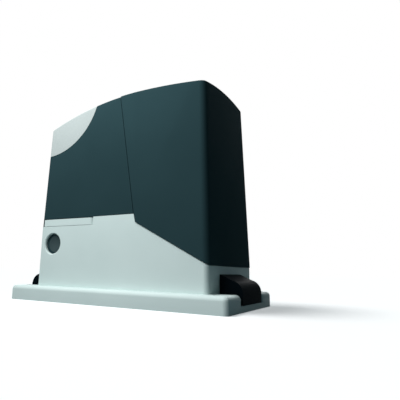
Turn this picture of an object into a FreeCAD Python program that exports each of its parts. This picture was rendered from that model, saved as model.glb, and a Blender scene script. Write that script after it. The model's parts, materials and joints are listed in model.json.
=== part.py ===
# Sliding gate motor, built as separate pieces.
# X runs along the gate's travel, Y from the front to the gate, Z up.
# The origin is the middle of the base's underside. All lengths are in millimetres.

import FreeCAD
import Part
import Sketcher
import math
import os
from FreeCAD import Placement, Rotation, Vector


# Driving sizes: each row is a name and its value, and goes into one cell of the sheet.
driving_sizes = [
    # base plate
    ("base_length", 330.0), ("base_depth", 172.0), ("base_thickness", 20.0),
    ("base_edge_radius", 5.5), ("base_corner_radius", 6.0), ("floor_thickness", 12.0),
    ("underside_web", 5.0), ("underside_depth", 7.0), ("underside_rim", 8.0),
    ("underside_middle", 24.0), ("underside_end", 12.5),
    # end recesses that hold the fixing slots, and the caps over them
    ("recess_floor", 7.5), ("recess_width", 79.0), ("recess_radius", 7.0),
    ("right_cap_middle", 1.5), ("left_cap_middle", -9.5),
    ("cap_gap", 2.0), ("cap_wall", 2.5), ("cap_crest", 42.5), ("cap_knee", 35.7),
    ("cap_knee_inset", 12.3), ("cap_nose", 19.6), ("seat_gap", 0.3),
    ("slot_width", 12.0), ("slot_length", 21.0), ("slot_end_wall", 3.0),
    ("levelling_radius", 5.0), ("levelling_inset", 19.0), ("levelling_lift", 0.5),
    # cast body
    ("left_flange", 35.5), ("right_flange", 28.5), ("body_front", 71.0), ("body_wall", 4.0),
    ("body_corner_radius", 6.0), ("body_low", 52.0), ("body_high", 115.0),
    ("step_height", 10.5), ("step_left", 34.0), ("step_slant", 2.7),
    ("lever_seat", 104.0),
    ("inlet_inset", 7.5), ("inlet_width", 26.0), ("inlet_front", 0.0), ("inlet_length", 50.0),
    ("inlet_radius", 8.0),
    # output shaft and gear case
    ("output_offset", 38.0), ("output_height", 80.0), ("shaft_radius", 12.5),
    ("case_radius", 54.0), ("case_wall", 5.0), ("case_front", -13.0), ("case_back", 42.0),
    ("case_lid", 5.0), ("front_boss", 15.0), ("boss_radius", 30.0),
    ("bearing_radius", 23.5), ("bearing_width", 12.0), ("bearing_fit", 0.02),
    ("rear_bearing_depth", 22.0), ("seal_width", 8.0), ("wheel_middle", 12.0),
    ("wheel_width", 14.0), ("hub_radius", 22.0), ("hub_front", 18.0), ("hub_back", 12.0),
    ("wheel_web", 7.0), ("wheel_rim", 8.0),
    ("worm_module", 2.5), ("wheel_teeth", 36.0), ("worm_pitch_radius", 15.0),
    ("tooth_slack", 0.3), ("worm_length", 44.0), ("worm_shaft_radius", 8.5),
    ("worm_bore", 18.5), ("worm_housing_radius", 24.0), ("worm_bearing_width", 10.0),
    ("motor_seat", 144.0), ("motor_flange_radius", 46.0), ("motor_flange", 8.0),
    # pinion
    ("pinion_module", 4.0), ("pinion_teeth", 15.0), ("pinion_width", 28.0),
    ("pinion_gap", 4.0), ("pinion_bore", 11.0), ("pinion_washer", 2.0),
    ("pinion_bolt_head", 4.0), ("pressure_angle", 20.0), ("key_width", 6.0),
    # clutch inside the output shaft
    ("clutch_bore", 6.0), ("clutch_pin_radius", 3.8), ("clutch_pin_length", 40.0),
    ("clutch_travel", 8.0), ("notch_depth", 8.0), ("plunger_radius", 5.0),
    ("plunger_nose", 2.0), ("spring_wire", 1.2), ("spring_turns", 7.0),
    ("spring_length", 26.0), ("running_gap", 0.06), ("plunger_gap", 0.35),
    # release lever
    ("lever_inset", 6.5), ("lever_height", 9.6), ("lever_thickness", 6.5),
    ("pivot_end", 5.5), ("pivot_radius", 3.5), ("lever_gap", 0.5), ("lever_end_gap", 2.2),
    ("lever_boss_half", 7.0), ("lever_boss_height", 10.0), ("cam_radius", 10.0),
    ("cam_thickness", 8.0), ("cam_early", 6.0), ("cam_room", 1.0),
    ("hook_width", 5.0), ("hook_bar", 14.0), ("hook_height", 5.0),
    # lock
    ("lock_inset", 25.0), ("lock_height", 79.3), ("window_radius", 14.5),
    ("window_bevel", 1.2), ("lock_radius", 11.0), ("lock_length", 20.0), ("plug_radius", 7.0),
    ("tongue_length", 31.0), ("tongue_width", 8.0), ("tongue_thickness", 2.5),
    ("lock_cover_thickness", 1.2), ("lock_cover_size", 34.0), ("lock_cover_travel", 30.0),
    ("rail_width", 3.0), ("holder_reach", 15.0),
    # motor
    ("can_radius", 38.0), ("can_wall", 2.5), ("can_length", 86.0), ("magnet_thickness", 4.0),
    ("armature_radius", 30.0), ("armature_length", 56.0), ("commutator_radius", 11.0),
    ("end_cap_height", 20.0), ("top_shaft_radius", 5.0), ("top_bearing_radius", 11.0),
    ("top_bearing_width", 7.0), ("encoder_radius", 12.0), ("encoder_height", 5.0),
    ("board_thickness", 1.6),
    # dark cover in two shells
    ("cover_wall", 3.0), ("cover_proud", 1.0), ("cover_gap", 0.5), ("cover_corner", 8.0),
    ("cover_edge", 2.5), ("left_draft", 0.034), ("right_draft", 0.0265), ("rear_draft", 0.06),
    ("roof_left", 251.0), ("roof_apex", 282.7), ("roof_right", 276.7), ("apex_offset", 35.0),
    ("roof_left_inset", 4.2), ("roof_right_inset", 5.0),
    ("crown_rise", 14.0), ("crown_middle", 32.0),
    ("seam_top", 5.2), ("seam_top_height", 280.4), ("seam_bottom", 33.9),
    ("seam_bottom_height", 116.6), ("seam_gap", 1.3), ("left_shell_inset", 0.8),
    ("lip_width", 8.0), ("lip_thickness", 2.0),
    ("panel_thickness", 1.2), ("panel_wrap", 16.0), ("panel_right", 36.0),
    ("panel_bottom", 210.5), ("panel_bulge_left", 60.5), ("panel_bulge_height", 236.9),
    ("panel_gap", 0.5),
    ("cover_screw_radius", 2.9), ("cover_screw_head", 5.5), ("screw_head_height", 2.4),
    ("left_screw_height", 124.0),
    ("rear_screw_height", 76.0), ("rear_screw_inset", 18.5), ("rear_wall_rise", 9.0),
    ("lug_width", 20.0), ("lug_thickness", 4.0), ("lug_root", 20.0), ("lug_slot_gap", 0.5),
    ("lug_top", 10.0), ("nut_side", 10.0), ("nut_thickness", 4.0), ("nut_gap", 0.3),
    # limit switch on the gate side
    ("tower_width", 60.0), ("tower_depth", 20.0), ("tower_head", 20.0), ("tower_radius", 8.0),
    ("switch_height", 152.0), ("switch_width", 44.0), ("switch_depth", 19.0),
    ("switch_tall", 24.0), ("stem_radius", 2.5), ("stem_length", 47.0),
    ("stem_pivot", 11.0), ("window_width", 26.0), ("window_tall", 13.0),
    # electrical parts
    ("board_inset", 11.5), ("board_width", 96.0), ("board_bottom", 126.0),
    ("board_height", 112.0), ("board_front", 48.0), ("board_corner", 5.0),
    ("board_low_screw", 16.0), ("board_screw_radius", 1.6), ("standoff", 4.0),
    ("tray_thickness", 3.0), ("tray_level", 115.4), ("tray_inset", 4.0),
    ("tray_case_gap", 12.0), ("tray_over_case", 12.0), ("tray_foot_back", -20.0),
    ("tray_tail_back", 70.0), ("gusset_inset", 8.0), ("gusset_side", 30.0),
    ("post_radius", 5.0), ("post_inset", 6.0), ("post_gap", 0.5),
    ("terminal_count", 4.0), ("terminal_pitch", 21.0), ("terminal_width", 19.0),
    ("terminal_height", 10.0), ("terminal_depth", 11.0), ("terminal_ways", 4.0),
    ("relay_pitch", 24.0), ("relay_width", 19.0), ("relay_height", 16.0), ("relay_depth", 14.0),
    ("capacitor_radius", 9.0), ("capacitor_height", 18.0),
    ("transformer_wall_gap", 8.0), ("transformer_case_gap", 6.5), ("transformer_y", 8.0),
    ("transformer_hole", 12.0), ("transformer_height", 36.0), ("transformer_bolt", 3.0),
    ("transformer_boss", 8.0), ("clamp_inset", 10.0), ("clamp_thickness", 2.0),
    # small screws that hold the motor and the gear case's lid
    ("small_screw_radius", 2.5), ("small_screw_gap", 0.1),
]

doc = FreeCAD.newDocument("SlidingGateMotor")
sheet = doc.addObject("Spreadsheet::Sheet", "Sizes")
for row, (name, amount) in enumerate(driving_sizes, start=1):
    sheet.set(f"A{row}", name)
    sheet.set(f"B{row}", str(amount))
    sheet.setAlias(f"B{row}", name)
doc.recompute()


class Amount:
    """A number together with the sheet formula that gives it."""

    def __init__(self, number, formula):
        self.number = float(number)
        self.formula = formula

    def __add__(self, other):
        return joined(self, "+", other)

    def __radd__(self, other):
        return joined(other, "+", self)

    def __sub__(self, other):
        return joined(self, "-", other)

    def __rsub__(self, other):
        return joined(other, "-", self)

    def __mul__(self, other):
        return joined(self, "*", other)

    def __rmul__(self, other):
        return joined(other, "*", self)

    def __truediv__(self, other):
        return joined(self, "/", other)

    def __neg__(self):
        return joined(0, "-", self)

    def __float__(self):
        return self.number


def amount_of(thing):
    """Turns a plain number into an Amount."""
    if isinstance(thing, Amount):
        return thing
    return Amount(thing, f"({float(thing)!r})")


def joined(first, sign, second):
    """Joins two amounts with one of the four signs, as a number and as a formula."""
    first = amount_of(first)
    second = amount_of(second)
    numbers = {
        "+": lambda a, b: a + b,
        "-": lambda a, b: a - b,
        "*": lambda a, b: a * b,
        "/": lambda a, b: a / b,
    }
    number = numbers[sign](first.number, second.number)
    return Amount(number, f"({first.formula} {sign} {second.formula})")


class SizeSheet:
    """Gives each cell of the sheet as an Amount, by its name."""

    def __getattr__(self, alias):
        return Amount(sheet.get(alias), f"Sizes.{alias}")


size = SizeSheet()
nodes = []

turn_to_axis = {
    "z": Rotation(),
    "y": Rotation(Vector(1, 0, 0), -90),
    "x": Rotation(Vector(0, 1, 0), 90),
}
plane_across = {"z": "XY_Plane", "y": "XZ_Plane", "x": "YZ_Plane"}


def bind(thing, path, amount):
    thing.setExpression(path, amount_of(amount).formula)


def place(thing, x, y, z, axis="z"):
    """Puts a thing at a point, with its own Z turned to the given axis."""
    thing.Placement = Placement(Vector(float(x), float(y), float(z)), turn_to_axis[axis])
    bind(thing, "Placement.Base.x", x)
    bind(thing, "Placement.Base.y", y)
    bind(thing, "Placement.Base.z", z)


def block(name, x, y, z):
    """A box between two values along each axis."""
    box = doc.addObject("Part::Box", name)
    bind(box, "Length", x[1] - x[0])
    bind(box, "Width", y[1] - y[0])
    bind(box, "Height", z[1] - z[0])
    place(box, x[0], y[0], z[0])
    return box


def rod(name, axis, at, radius, length):
    """A cylinder that starts at a point and runs along an axis."""
    cylinder = doc.addObject("Part::Cylinder", name)
    bind(cylinder, "Radius", radius)
    bind(cylinder, "Height", length)
    place(cylinder, *at, axis)
    return cylinder


def origin_plane(body, role):
    return next(item for item in body.Origin.OriginFeatures if item.Role == role)


def draw(body, role, points):
    """Draws a closed outline. A point that starts with "via" lies on an arc between its neighbours."""
    sketch = body.newObject("Sketcher::SketchObject", f"{body.Name}Outline")
    sketch.AttachmentSupport = [(origin_plane(body, role), "")]
    sketch.MapMode = "FlatFace"
    corners = [index for index, point in enumerate(points) if point[0] != "via"]
    count = len(corners)
    for order, index in enumerate(corners):
        following = corners[(order + 1) % count]
        start = Vector(float(points[index][0]), float(points[index][1]), 0)
        end = Vector(float(points[following][0]), float(points[following][1]), 0)
        between = (index + 1) % len(points)
        if between != following:
            middle = points[between]
            through = Vector(float(middle[1]), float(middle[2]), 0)
            sketch.addGeometry(Part.Arc(start, through, end))
        else:
            sketch.addGeometry(Part.LineSegment(start, end))
    straight = [(index + 1) % len(points) in corners for index in corners]
    starts = [1 if straight[order] else arc_start(sketch, order, points[index])
              for order, index in enumerate(corners)]
    for order, index in enumerate(corners):
        following = (order + 1) % count
        end_of_this = 3 - starts[order]
        sketch.addConstraint(
            Sketcher.Constraint("Coincident", order, end_of_this, following, starts[following]))
        fix_point(sketch, order, starts[order], points[index])
        if not straight[order]:
            middle = points[(index + 1) % len(points)][1:]
            mark = sketch.addGeometry(Part.Point(Vector(float(middle[0]), float(middle[1]), 0)), True)
            sketch.addConstraint(Sketcher.Constraint("PointOnObject", mark, 1, order))
            fix_point(sketch, mark, 1, middle)
    return sketch


def arc_start(sketch, edge, point):
    """Says which end of an arc, 1 or 2, lies at the point."""
    corner = Vector(float(point[0]), float(point[1]), 0)
    first = sketch.getPoint(edge, 1).distanceToPoint(corner)
    second = sketch.getPoint(edge, 2).distanceToPoint(corner)
    return 1 if first < second else 2


def fix_point(sketch, edge, end, point):
    for kind, amount in (("DistanceX", point[0]), ("DistanceY", point[1])):
        index = sketch.addConstraint(Sketcher.Constraint(kind, -1, 1, edge, end, float(amount)))
        bind(sketch, f"Constraints[{index}]", amount)


def prism(name, axis, start, length, points):
    """An outline across an axis, padded along it from a start value."""
    body = doc.addObject("PartDesign::Body", name)
    sketch = draw(body, plane_across[axis], points)
    pad = body.newObject("PartDesign::Pad", f"{name}Pad")
    pad.Profile = sketch
    pad.Reversed = axis == "y"
    bind(pad, "Length", length)
    bind(body, f"Placement.Base.{axis}", start)
    return body


def turned(name, axis, at, profile):
    """A profile of (radius, distance along the axis) turned round the axis."""
    body = doc.addObject("PartDesign::Body", name)
    sketch = draw(body, "XZ_Plane", profile)
    revolution = body.newObject("PartDesign::Revolution", f"{name}Turn")
    revolution.Profile = sketch
    revolution.ReferenceAxis = (sketch, ["V_Axis"])
    revolution.Angle = 360
    place(body, *at, axis)
    return body


def ring(name, axis, at, inner, outer, length):
    """A plain round ring."""
    return turned(name, axis, at, [(inner, 0), (outer, 0), (outer, length), (inner, length)])


def fuse(name, *parts):
    union = doc.addObject("Part::MultiFuse", name)
    union.Shapes = list(parts)
    union.Refine = True
    return union


def cut(name, base, *tools):
    difference = doc.addObject("Part::Cut", name)
    difference.Base = base
    difference.Tool = tools[0] if len(tools) == 1 else fuse(f"{name}Tools", *tools)
    difference.Refine = True
    return difference


def common(name, *parts):
    overlap = doc.addObject("Part::MultiCommon", name)
    overlap.Shapes = list(parts)
    return overlap


def made(name, shape, at=None):
    """A shape worked out in code from the sheet's sizes."""
    feature = doc.addObject("Part::Feature", name)
    feature.Shape = shape
    if at is not None:
        feature.Placement = at
    return feature


def rounded(name, base, radius, test):
    """Rounds the edges of a thing that pass the test."""
    doc.recompute()
    fillet = doc.addObject("Part::Fillet", name)
    fillet.Base = base
    fillet.Edges = chosen_edges(base, radius, test)
    return fillet


def chosen_edges(base, radius, test):
    """The edges of a thing that pass the test, each with the radius it gets."""
    return [(index, float(radius), float(radius))
            for index, edge in enumerate(base.Shape.Edges, start=1) if test(edge)]


def node(name, thing):
    """Names a finished piece. Its label is the name of its file."""
    thing.Label = name
    nodes.append(thing)
    return thing


def upright(edge):
    start = edge.valueAt(edge.FirstParameter)
    end = edge.valueAt(edge.LastParameter)
    run = end - start
    return abs(run.z) > 5 * (abs(run.x) + abs(run.y))


def level_at(height):
    def test(edge):
        box = edge.BoundBox
        return abs(box.ZMin - height) < 0.01 and abs(box.ZMax - height) < 0.01
    return test


# Places that several pieces share.
base_half = size.base_length / 2
body_rear = size.base_depth / 2
body_left = size.left_flange - base_half
body_right = base_half - size.right_flange
body_front = -size.body_front
roof_left_end = body_left + size.roof_left_inset
roof_right_end = body_right - size.roof_right_inset
output_x = -size.output_offset
output_z = size.output_height
wheel_pitch_radius = size.worm_module * size.wheel_teeth / 2
worm_x = output_x + wheel_pitch_radius + size.worm_pitch_radius
worm_y = size.wheel_middle
lead = size.worm_module * math.pi
lever_pivot_x = output_x
lever_pivot_y = body_front + size.pivot_end
lever_notch_end = lever_pivot_x + size.pivot_end + size.lever_gap
lever_left = body_left + size.lever_inset
shaft_front = size.case_front - size.case_lid - size.front_boss
knee_height = size.body_high - size.step_height
knee_x = size.step_left + size.step_slant
pinion_front = body_rear + size.pinion_gap
inner_left = body_left + size.body_wall
inner_right = body_right - size.body_wall
inner_front = body_front + size.body_wall
inner_rear = body_rear - size.body_wall
tower_top = size.switch_height + size.tower_head
left_lug = inner_left + 1
rear_lug = inner_rear - 1
rear_screw_x = body_right - size.rear_screw_inset
lock_x = body_left + size.lock_inset
lock_z = size.lock_height
board_left = body_left + size.board_inset
board_right = board_left + size.board_width
tray_foot_end = output_x - size.tray_case_gap
tray_tail_end = output_x - size.case_radius + size.tray_over_case
transformer_room = (inner_right - size.transformer_wall_gap
                    - worm_x - size.worm_housing_radius - size.transformer_case_gap)
transformer_radius = transformer_room / 2
transformer_x = inner_right - size.transformer_wall_gap - transformer_radius
small_screw_hole = size.small_screw_radius + size.small_screw_gap
lock_front = inner_front + size.lock_cover_thickness + 2 * size.seat_gap
lock_rear = lock_front + size.lock_length


def cap_outline(wall, drop, inset):
    """Side outline of an end cap, as distances from the body's end wall and heights."""
    far = base_half - wall - inset
    low = size.recess_floor + size.seat_gap - drop
    crest = size.cap_crest - inset
    knee_x = far - size.cap_knee_inset
    knee_z = size.cap_knee - inset
    nose_z = size.cap_nose
    bend_x = far - size.cap_knee_inset * 0.24
    bend_z = nose_z + (knee_z - nose_z) * 0.62
    near = size.seat_gap - drop
    return [(near, low), (far, low), (far, nose_z), ("via", bend_x, bend_z), (knee_x, knee_z),
            (near, crest)]


def end_cap(name, side, middle):
    """A hollow cap over an end recess, open towards the body and below."""
    width = size.recess_width - 2 * size.cap_gap
    wall = body_right if side > 0 else -body_left
    start = middle - width / 2
    outer = prism(f"{name}Outer", "y", start, width, cap_outline(wall, 0, 0))
    inner = prism(f"{name}Inner", "y", start + size.cap_wall, width - 2 * size.cap_wall,
                  cap_outline(wall, 5, size.cap_wall))
    for part in (outer, inner):
        bind(part, "Placement.Base.x", wall)
    shell = cut(f"{name}Shell", outer, inner)
    if side > 0:
        return node(name, shell)
    mirrored = doc.addObject("Part::Mirroring", f"{name}Mirror")
    mirrored.Source = shell
    mirrored.Normal = Vector(1, 0, 0)
    return node(name, mirrored)


def round_slot(name, x, y, width, length, low, high):
    """A slot with round ends along X, cut upwards through a plate."""
    reach = (length - width) / 2
    radius = width / 2
    return prism(name, "z", low, high - low, [
        (x - reach, y - radius), (x + reach, y - radius), ("via", x + reach + radius, y),
        (x + reach, y + radius), (x - reach, y + radius), ("via", x - reach - radius, y)])


def recess(name, side, middle):
    """The pocket in one end of the base plate where its fixing slot lies."""
    half = size.recess_width / 2
    wall = body_right if side > 0 else -body_left
    near = side * wall
    far = side * (base_half + 1)
    x = (near, far) if side > 0 else (far, near)
    pocket = block(f"{name}Pocket", x, (middle - half, middle + half),
                   (size.recess_floor, size.base_thickness + 1))
    slot_x = side * (base_half - size.slot_end_wall - size.slot_length / 2)
    slot = round_slot(f"{name}Slot", slot_x, 0, size.slot_width, size.slot_length, -1,
                      size.base_thickness + 1)
    return [pocket, slot]


def base_plate():
    half_depth = size.base_depth / 2
    plate = block("BasePlate", (-base_half, base_half), (-half_depth, half_depth),
                  (amount_of(0), size.base_thickness))
    plate = rounded("BaseCorners", plate, size.base_corner_radius, upright)
    plate = rounded("BaseEdges", plate, size.base_edge_radius,
                    level_at(size.base_thickness.number))
    cuts = recess("RightEnd", 1, size.right_cap_middle)
    cuts += recess("LeftEnd", -1, size.left_cap_middle)
    for x_side in (-1, 1):
        for y_side in (-1, 1):
            x = x_side * (base_half - size.levelling_inset)
            y = y_side * (half_depth - size.levelling_inset)
            cuts.append(rod("LevellingHole", "z", (x, y, -1), size.levelling_radius,
                            size.base_thickness + 2))
    plate = cut("BasePlateCut", plate, *cuts)
    lips = []

    def recess_lip(edge):
        box = edge.BoundBox
        middle = edge.CenterOfMass
        along = box.XLength > 3 * (box.YLength + box.ZLength + 0.1)
        lies_high = abs(box.ZMin - size.base_thickness.number) < 0.1
        beside_recess = abs(middle.y) < size.recess_width.number * 0.75
        between = -body_left.number < abs(middle.x) < base_half.number - 8
        return along and lies_high and beside_recess and between

    return rounded("RecessLips", plate, size.recess_radius, recess_lip)


def underside_pockets():
    """Shallow pockets between the ribs under the base, clear of the middle, slots and inlet."""
    depth = size.underside_depth
    rim = size.underside_rim
    web = size.underside_web
    middle = size.underside_middle
    half_web = web / 2
    far_left = body_left + size.inlet_inset + size.inlet_width + half_web
    far_right = body_right - size.underside_end
    split = (middle + far_right) / 2
    columns = [(far_left, -middle), (middle, split - half_web), (split + half_web, far_right)]
    edge = size.base_depth / 2 - rim
    row_line = edge / 2
    rows = [(-edge, -row_line - half_web), (-row_line + half_web, -half_web),
            (half_web, row_line - half_web), (row_line + half_web, edge)]
    pockets = []
    for left, right in columns:
        for low, high in rows:
            pockets.append(block("UndersidePocket", (left, right), (low, high),
                                 (amount_of(-1), depth)))
    return pockets


def body_outline(inset, low):
    """Front outline of the cast body's walls, drawn inwards by an inset."""
    return [(body_left + inset, low), (body_right - inset, low),
            (body_right - inset, size.body_low), (knee_x, knee_height),
            (size.step_left, size.body_high + 0.5), (lever_notch_end, size.body_high),
            (lever_notch_end, size.lever_seat), (body_left + inset, size.lever_seat)]


def cast_shell():
    """The base plate and the walls that stand on it, hollowed down to the floor."""
    outer = prism("WallsOuter", "y", body_front, body_rear - body_front,
                  body_outline(0, size.floor_thickness / 2))
    outer = rounded("WallCorners", outer, size.body_corner_radius, upright_outer)
    hollow = block("WallsHollow", (inner_left, inner_right), (inner_front, inner_rear),
                   (size.floor_thickness, size.body_high + 30))
    hollow = rounded("HollowCorners", hollow, size.body_corner_radius - size.body_wall, upright)
    return cut("Walls", fuse("PlateAndWalls", base_plate(), outer), hollow)


def upright_outer(edge):
    middle = edge.CenterOfMass
    at_end = abs(middle.x - body_left.number) < 0.1 or abs(middle.x - body_right.number) < 0.1
    return upright(edge) and at_end


def gear_case():
    """The round case for the wheel, the upright one for the worm and the bosses behind."""
    middle = (output_x, size.case_front, output_z)
    case = rod("CaseOuter", "y", middle, size.case_radius, size.case_back - size.case_front)
    boss = rod("RearBoss", "y", (output_x, size.case_back - 1, output_z), size.boss_radius,
               body_rear - size.case_back + 1)
    housing = rod("WormHousing", "z", (worm_x, worm_y, size.floor_thickness - 1),
                  size.worm_housing_radius, size.motor_seat - size.floor_thickness + 1)
    seat = rod("MotorSeat", "z", (worm_x, worm_y, size.motor_seat - size.motor_flange),
               size.motor_flange_radius, size.motor_flange)
    foot = block("CaseFoot", (output_x - size.boss_radius, output_x + size.boss_radius),
                 (size.case_front, size.case_back),
                 (size.floor_thickness - 1, output_z - size.boss_radius))
    return [case, boss, housing, seat, foot]


def gear_case_hollows():
    inner = size.case_radius - size.case_wall
    hollow = rod("CaseHollow", "y", (output_x, size.case_front - 1, output_z), inner,
                 size.case_back - size.case_wall - size.case_front + 1)
    tunnel = rod("ShaftTunnel", "y", (output_x, size.case_back - size.case_wall - 1, output_z),
                 size.bearing_radius - 3, body_rear - size.case_back + size.case_wall + 2)
    pocket = rod("RearBearingPocket", "y", (output_x, body_rear - size.rear_bearing_depth, output_z),
                 size.bearing_radius, size.rear_bearing_depth + 1)
    worm_bottom = size.floor_thickness + size.worm_bearing_width
    bore = rod("WormBore", "z", (worm_x, worm_y, worm_bottom), size.worm_bore,
               size.motor_seat - worm_bottom + 1)
    return [hollow, tunnel, pocket, bore]


def lever_bosses():
    """Two bosses inside the front wall that carry the release lever's upright shaft."""
    parts = []
    half = size.lever_boss_half
    cam_low = output_z - size.cam_thickness / 2 - size.cam_room
    cam_high = output_z + size.cam_thickness / 2 + size.cam_room
    for low, high in ((cam_low - size.lever_boss_height, cam_low),
                      (cam_high, size.lever_seat - size.lever_gap)):
        parts.append(block("LeverBoss", (lever_pivot_x - half, lever_pivot_x + half),
                           (inner_front - 1, lever_pivot_y + half), (low, high)))
    return parts


def lever_bore():
    low = output_z - size.cam_thickness / 2 - 8
    bore = rod("LeverBore", "z", (lever_pivot_x, lever_pivot_y, low),
               size.pivot_radius + size.running_gap, size.lever_seat - low + 1)
    cam_low = output_z - size.cam_thickness / 2 - size.cam_room
    pocket = rod("CamClearance", "z", (lever_pivot_x, lever_pivot_y, cam_low),
                 size.pivot_radius + 0.6, size.cam_thickness + 2 * size.cam_room)
    return [bore, pocket]


def lock_mount():
    """The block that holds the lock barrel and the two rails of the sliding lock cover."""
    half = size.lock_cover_size / 2 + size.seat_gap
    left = lock_x - half
    right = lock_x + half + size.lock_cover_travel
    rails = []
    for side in (-1, 1):
        near = lock_z + side * half
        far = near + side * size.rail_width
        z = (near, far) if side > 0 else (far, near)
        rails.append(block("CoverRail", (left, right), (inner_front - 1, lock_front + 2), z))
    reach = size.holder_reach
    holder = block("LockHolder", (inner_left - 1, lock_x + reach), (lock_front + 4, lock_rear - 6),
                   (size.floor_thickness - 1, lock_z + reach))
    return rails + [holder]


def lock_cuts():
    window = turned("LockWindow", "y", (lock_x, body_front, lock_z), [
        (0, -1), (size.window_radius + size.window_bevel + 1, -1),
        (size.window_radius, size.window_bevel), (size.window_radius, size.body_wall + 0.5),
        (0, size.body_wall + 0.5)])
    bore = rod("LockBore", "y", (lock_x, lock_front - 1, lock_z), size.lock_radius,
               size.lock_length + 2)
    return [window, bore]


def switch_tower():
    """The upright at the back that carries the limit switch."""
    half = size.tower_width / 2
    wall = size.body_wall
    back = body_rear
    front = body_rear - size.tower_depth
    low = size.body_high - 20
    outer = block("TowerOuter", (output_x - half, output_x + half), (front, back),
                  (low, tower_top))
    outer = rounded("TowerCorners", outer, size.tower_radius,
                    lambda edge: edge.BoundBox.YLength > 10
                    and abs(edge.CenterOfMass.z - tower_top.number) < 0.1)
    hollow = block("TowerHollow", (output_x - half + wall, output_x + half - wall),
                   (front - 1, back - wall), (size.output_height + size.boss_radius + 4,
                                              tower_top - wall))
    return outer, hollow


def tower_window():
    half = size.window_width / 2
    tall = size.window_tall / 2
    return block("TowerWindow", (output_x - half, output_x + half),
                 (body_rear - size.body_wall - 1, body_rear + 1),
                 (size.switch_height - tall, size.switch_height + tall))


def across_wall(axis, along, across):
    """Ranges in X and Y of a block that stands along one axis and across the other."""
    return (along, across) if axis == "x" else (across, along)


def lug_places():
    """Each cover screw: its axis, outward side, place across, height, lug face and wall top."""
    rear_top = size.body_low + size.rear_wall_rise
    return (("x", -1, amount_of(0), size.left_screw_height, left_lug, size.lever_seat),
            ("y", 1, rear_screw_x, size.rear_screw_height, rear_lug, rear_top))


def cover_lugs():
    """Two upstands with slots open at the top, which take the cover's screws."""
    lugs = []
    slots = []
    half = size.lug_width / 2
    half_slot = size.cover_screw_radius + size.lug_slot_gap
    for axis, side, across, height, face, wall_top in lug_places():
        inward = face - side * size.lug_thickness
        low, high = (face, inward) if side < 0 else (inward, face)
        x, y = across_wall(axis, (low, high), (across - half, across + half))
        low_z = wall_top - size.lug_root
        lugs.append(block("CoverLug", x, y, (low_z, height + size.lug_top)))
        x, y = across_wall(axis, (low - 2, high + 2), (across - half, across + half))
        lugs.append(block("LugRoot", x, y, (low_z, wall_top - 1)))
        x, y = across_wall(axis, (low - 3, high + 3), (across - half_slot, across + half_slot))
        slots.append(block("LugSlot", x, y, (height - half_slot, height + size.lug_top + 1)))
    return lugs, slots


def tray_posts():
    posts = []
    back_x = board_left + size.tray_inset + size.post_inset
    clear = size.post_radius + size.post_gap
    behind_tongue = lock_rear + size.seat_gap + size.tongue_thickness + 1
    places = ((output_x - size.boss_radius - clear, behind_tongue + clear),
              (back_x, size.case_front + clear),
              (back_x, size.tray_tail_back - size.gusset_inset))
    for x, y in places:
        posts.append(rod("TrayPost", "z", (x, y, size.floor_thickness - 1), size.post_radius,
                         size.tray_level - size.floor_thickness + 1))
    return posts


def base_casting():
    tower, tower_hollow = switch_tower()
    lugs, slots = cover_lugs()
    boss = rod("TransformerBoss", "z",
               (transformer_x, size.transformer_y, size.floor_thickness - 1),
               size.transformer_boss, size.transformer_boss)
    solid = fuse("CastingSolid", cast_shell(), *gear_case(), *lever_bosses(),
                 *lock_mount(), tower, *lugs, *tray_posts(), boss)
    inlet_left = body_left + size.inlet_inset
    inlet = block("CableInlet", (inlet_left, inlet_left + size.inlet_width),
                  (size.inlet_front, size.inlet_front + size.inlet_length),
                  (amount_of(-1), size.floor_thickness + 1))
    inlet = rounded("InletCorners", inlet, size.inlet_radius, upright)
    seat_holes = [rod("MotorScrewThread", "z", (x, y, size.motor_seat - 12), small_screw_hole, 13)
                  for x, y in motor_screw_places()]
    bolt_hole = rod("TransformerThread", "z",
                    (transformer_x, size.transformer_y, size.floor_thickness - 3),
                    size.transformer_bolt, size.transformer_boss + 5)
    return node("base_casting", cut("Casting", solid, *gear_case_hollows(), *lever_bore(),
                                    *lock_cuts(), tower_hollow, tower_window(), *slots, inlet,
                                    *underside_pockets(), *seat_holes, bolt_hole))


def gearcase_cover():
    plate = rod("LidPlate", "y", (output_x, size.case_front - size.case_lid, output_z),
                size.case_radius, size.case_lid)
    boss = rod("LidBoss", "y", (output_x, shaft_front, output_z), size.boss_radius,
               size.front_boss + 1)
    bore = rod("LidBearingPocket", "y", (output_x, shaft_front + 2, output_z),
               size.bearing_radius, size.front_boss + size.case_lid)
    opening = rod("LidOpening", "y", (output_x, shaft_front - 1, output_z),
                  size.shaft_radius + 2, 10)
    ribs = []
    for step in range(6):
        rib = doc.addObject("Part::Box", "LidRib")
        bind(rib, "Length", size.case_radius - size.boss_radius - 4)
        bind(rib, "Width", 4)
        bind(rib, "Height", size.front_boss - 4)
        angle = 30 + 60 * step
        turn = Rotation(Vector(0, 1, 0), angle)
        lie = Rotation(Vector(1, 0, 0), -90)
        start = turn.multVec(Vector(size.boss_radius.number - 1, 0, 0))
        across = turn.multVec(Vector(0, 0, 2))
        origin = Vector(output_x.number, shaft_front.number + 4, output_z.number)
        rib.Placement = Placement(origin + start + across, turn * lie)
        ribs.append(rib)
    holes = [rod("LidScrewHole", "y", at, small_screw_hole, size.case_lid + 2)
             for at in lid_screw_places(size.case_front - size.case_lid - 1)]
    solid = fuse("LidSolid", plate, boss, *ribs)
    return node("gearcase_cover", cut("Lid", solid, bore, opening, *holes))


def lid_screw_places(y):
    reach = size.case_radius - 4.5
    places = []
    for step in range(6):
        angle = math.radians(60 * step)
        places.append((output_x + reach * math.cos(angle), y, output_z + reach * math.sin(angle)))
    return places


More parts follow.
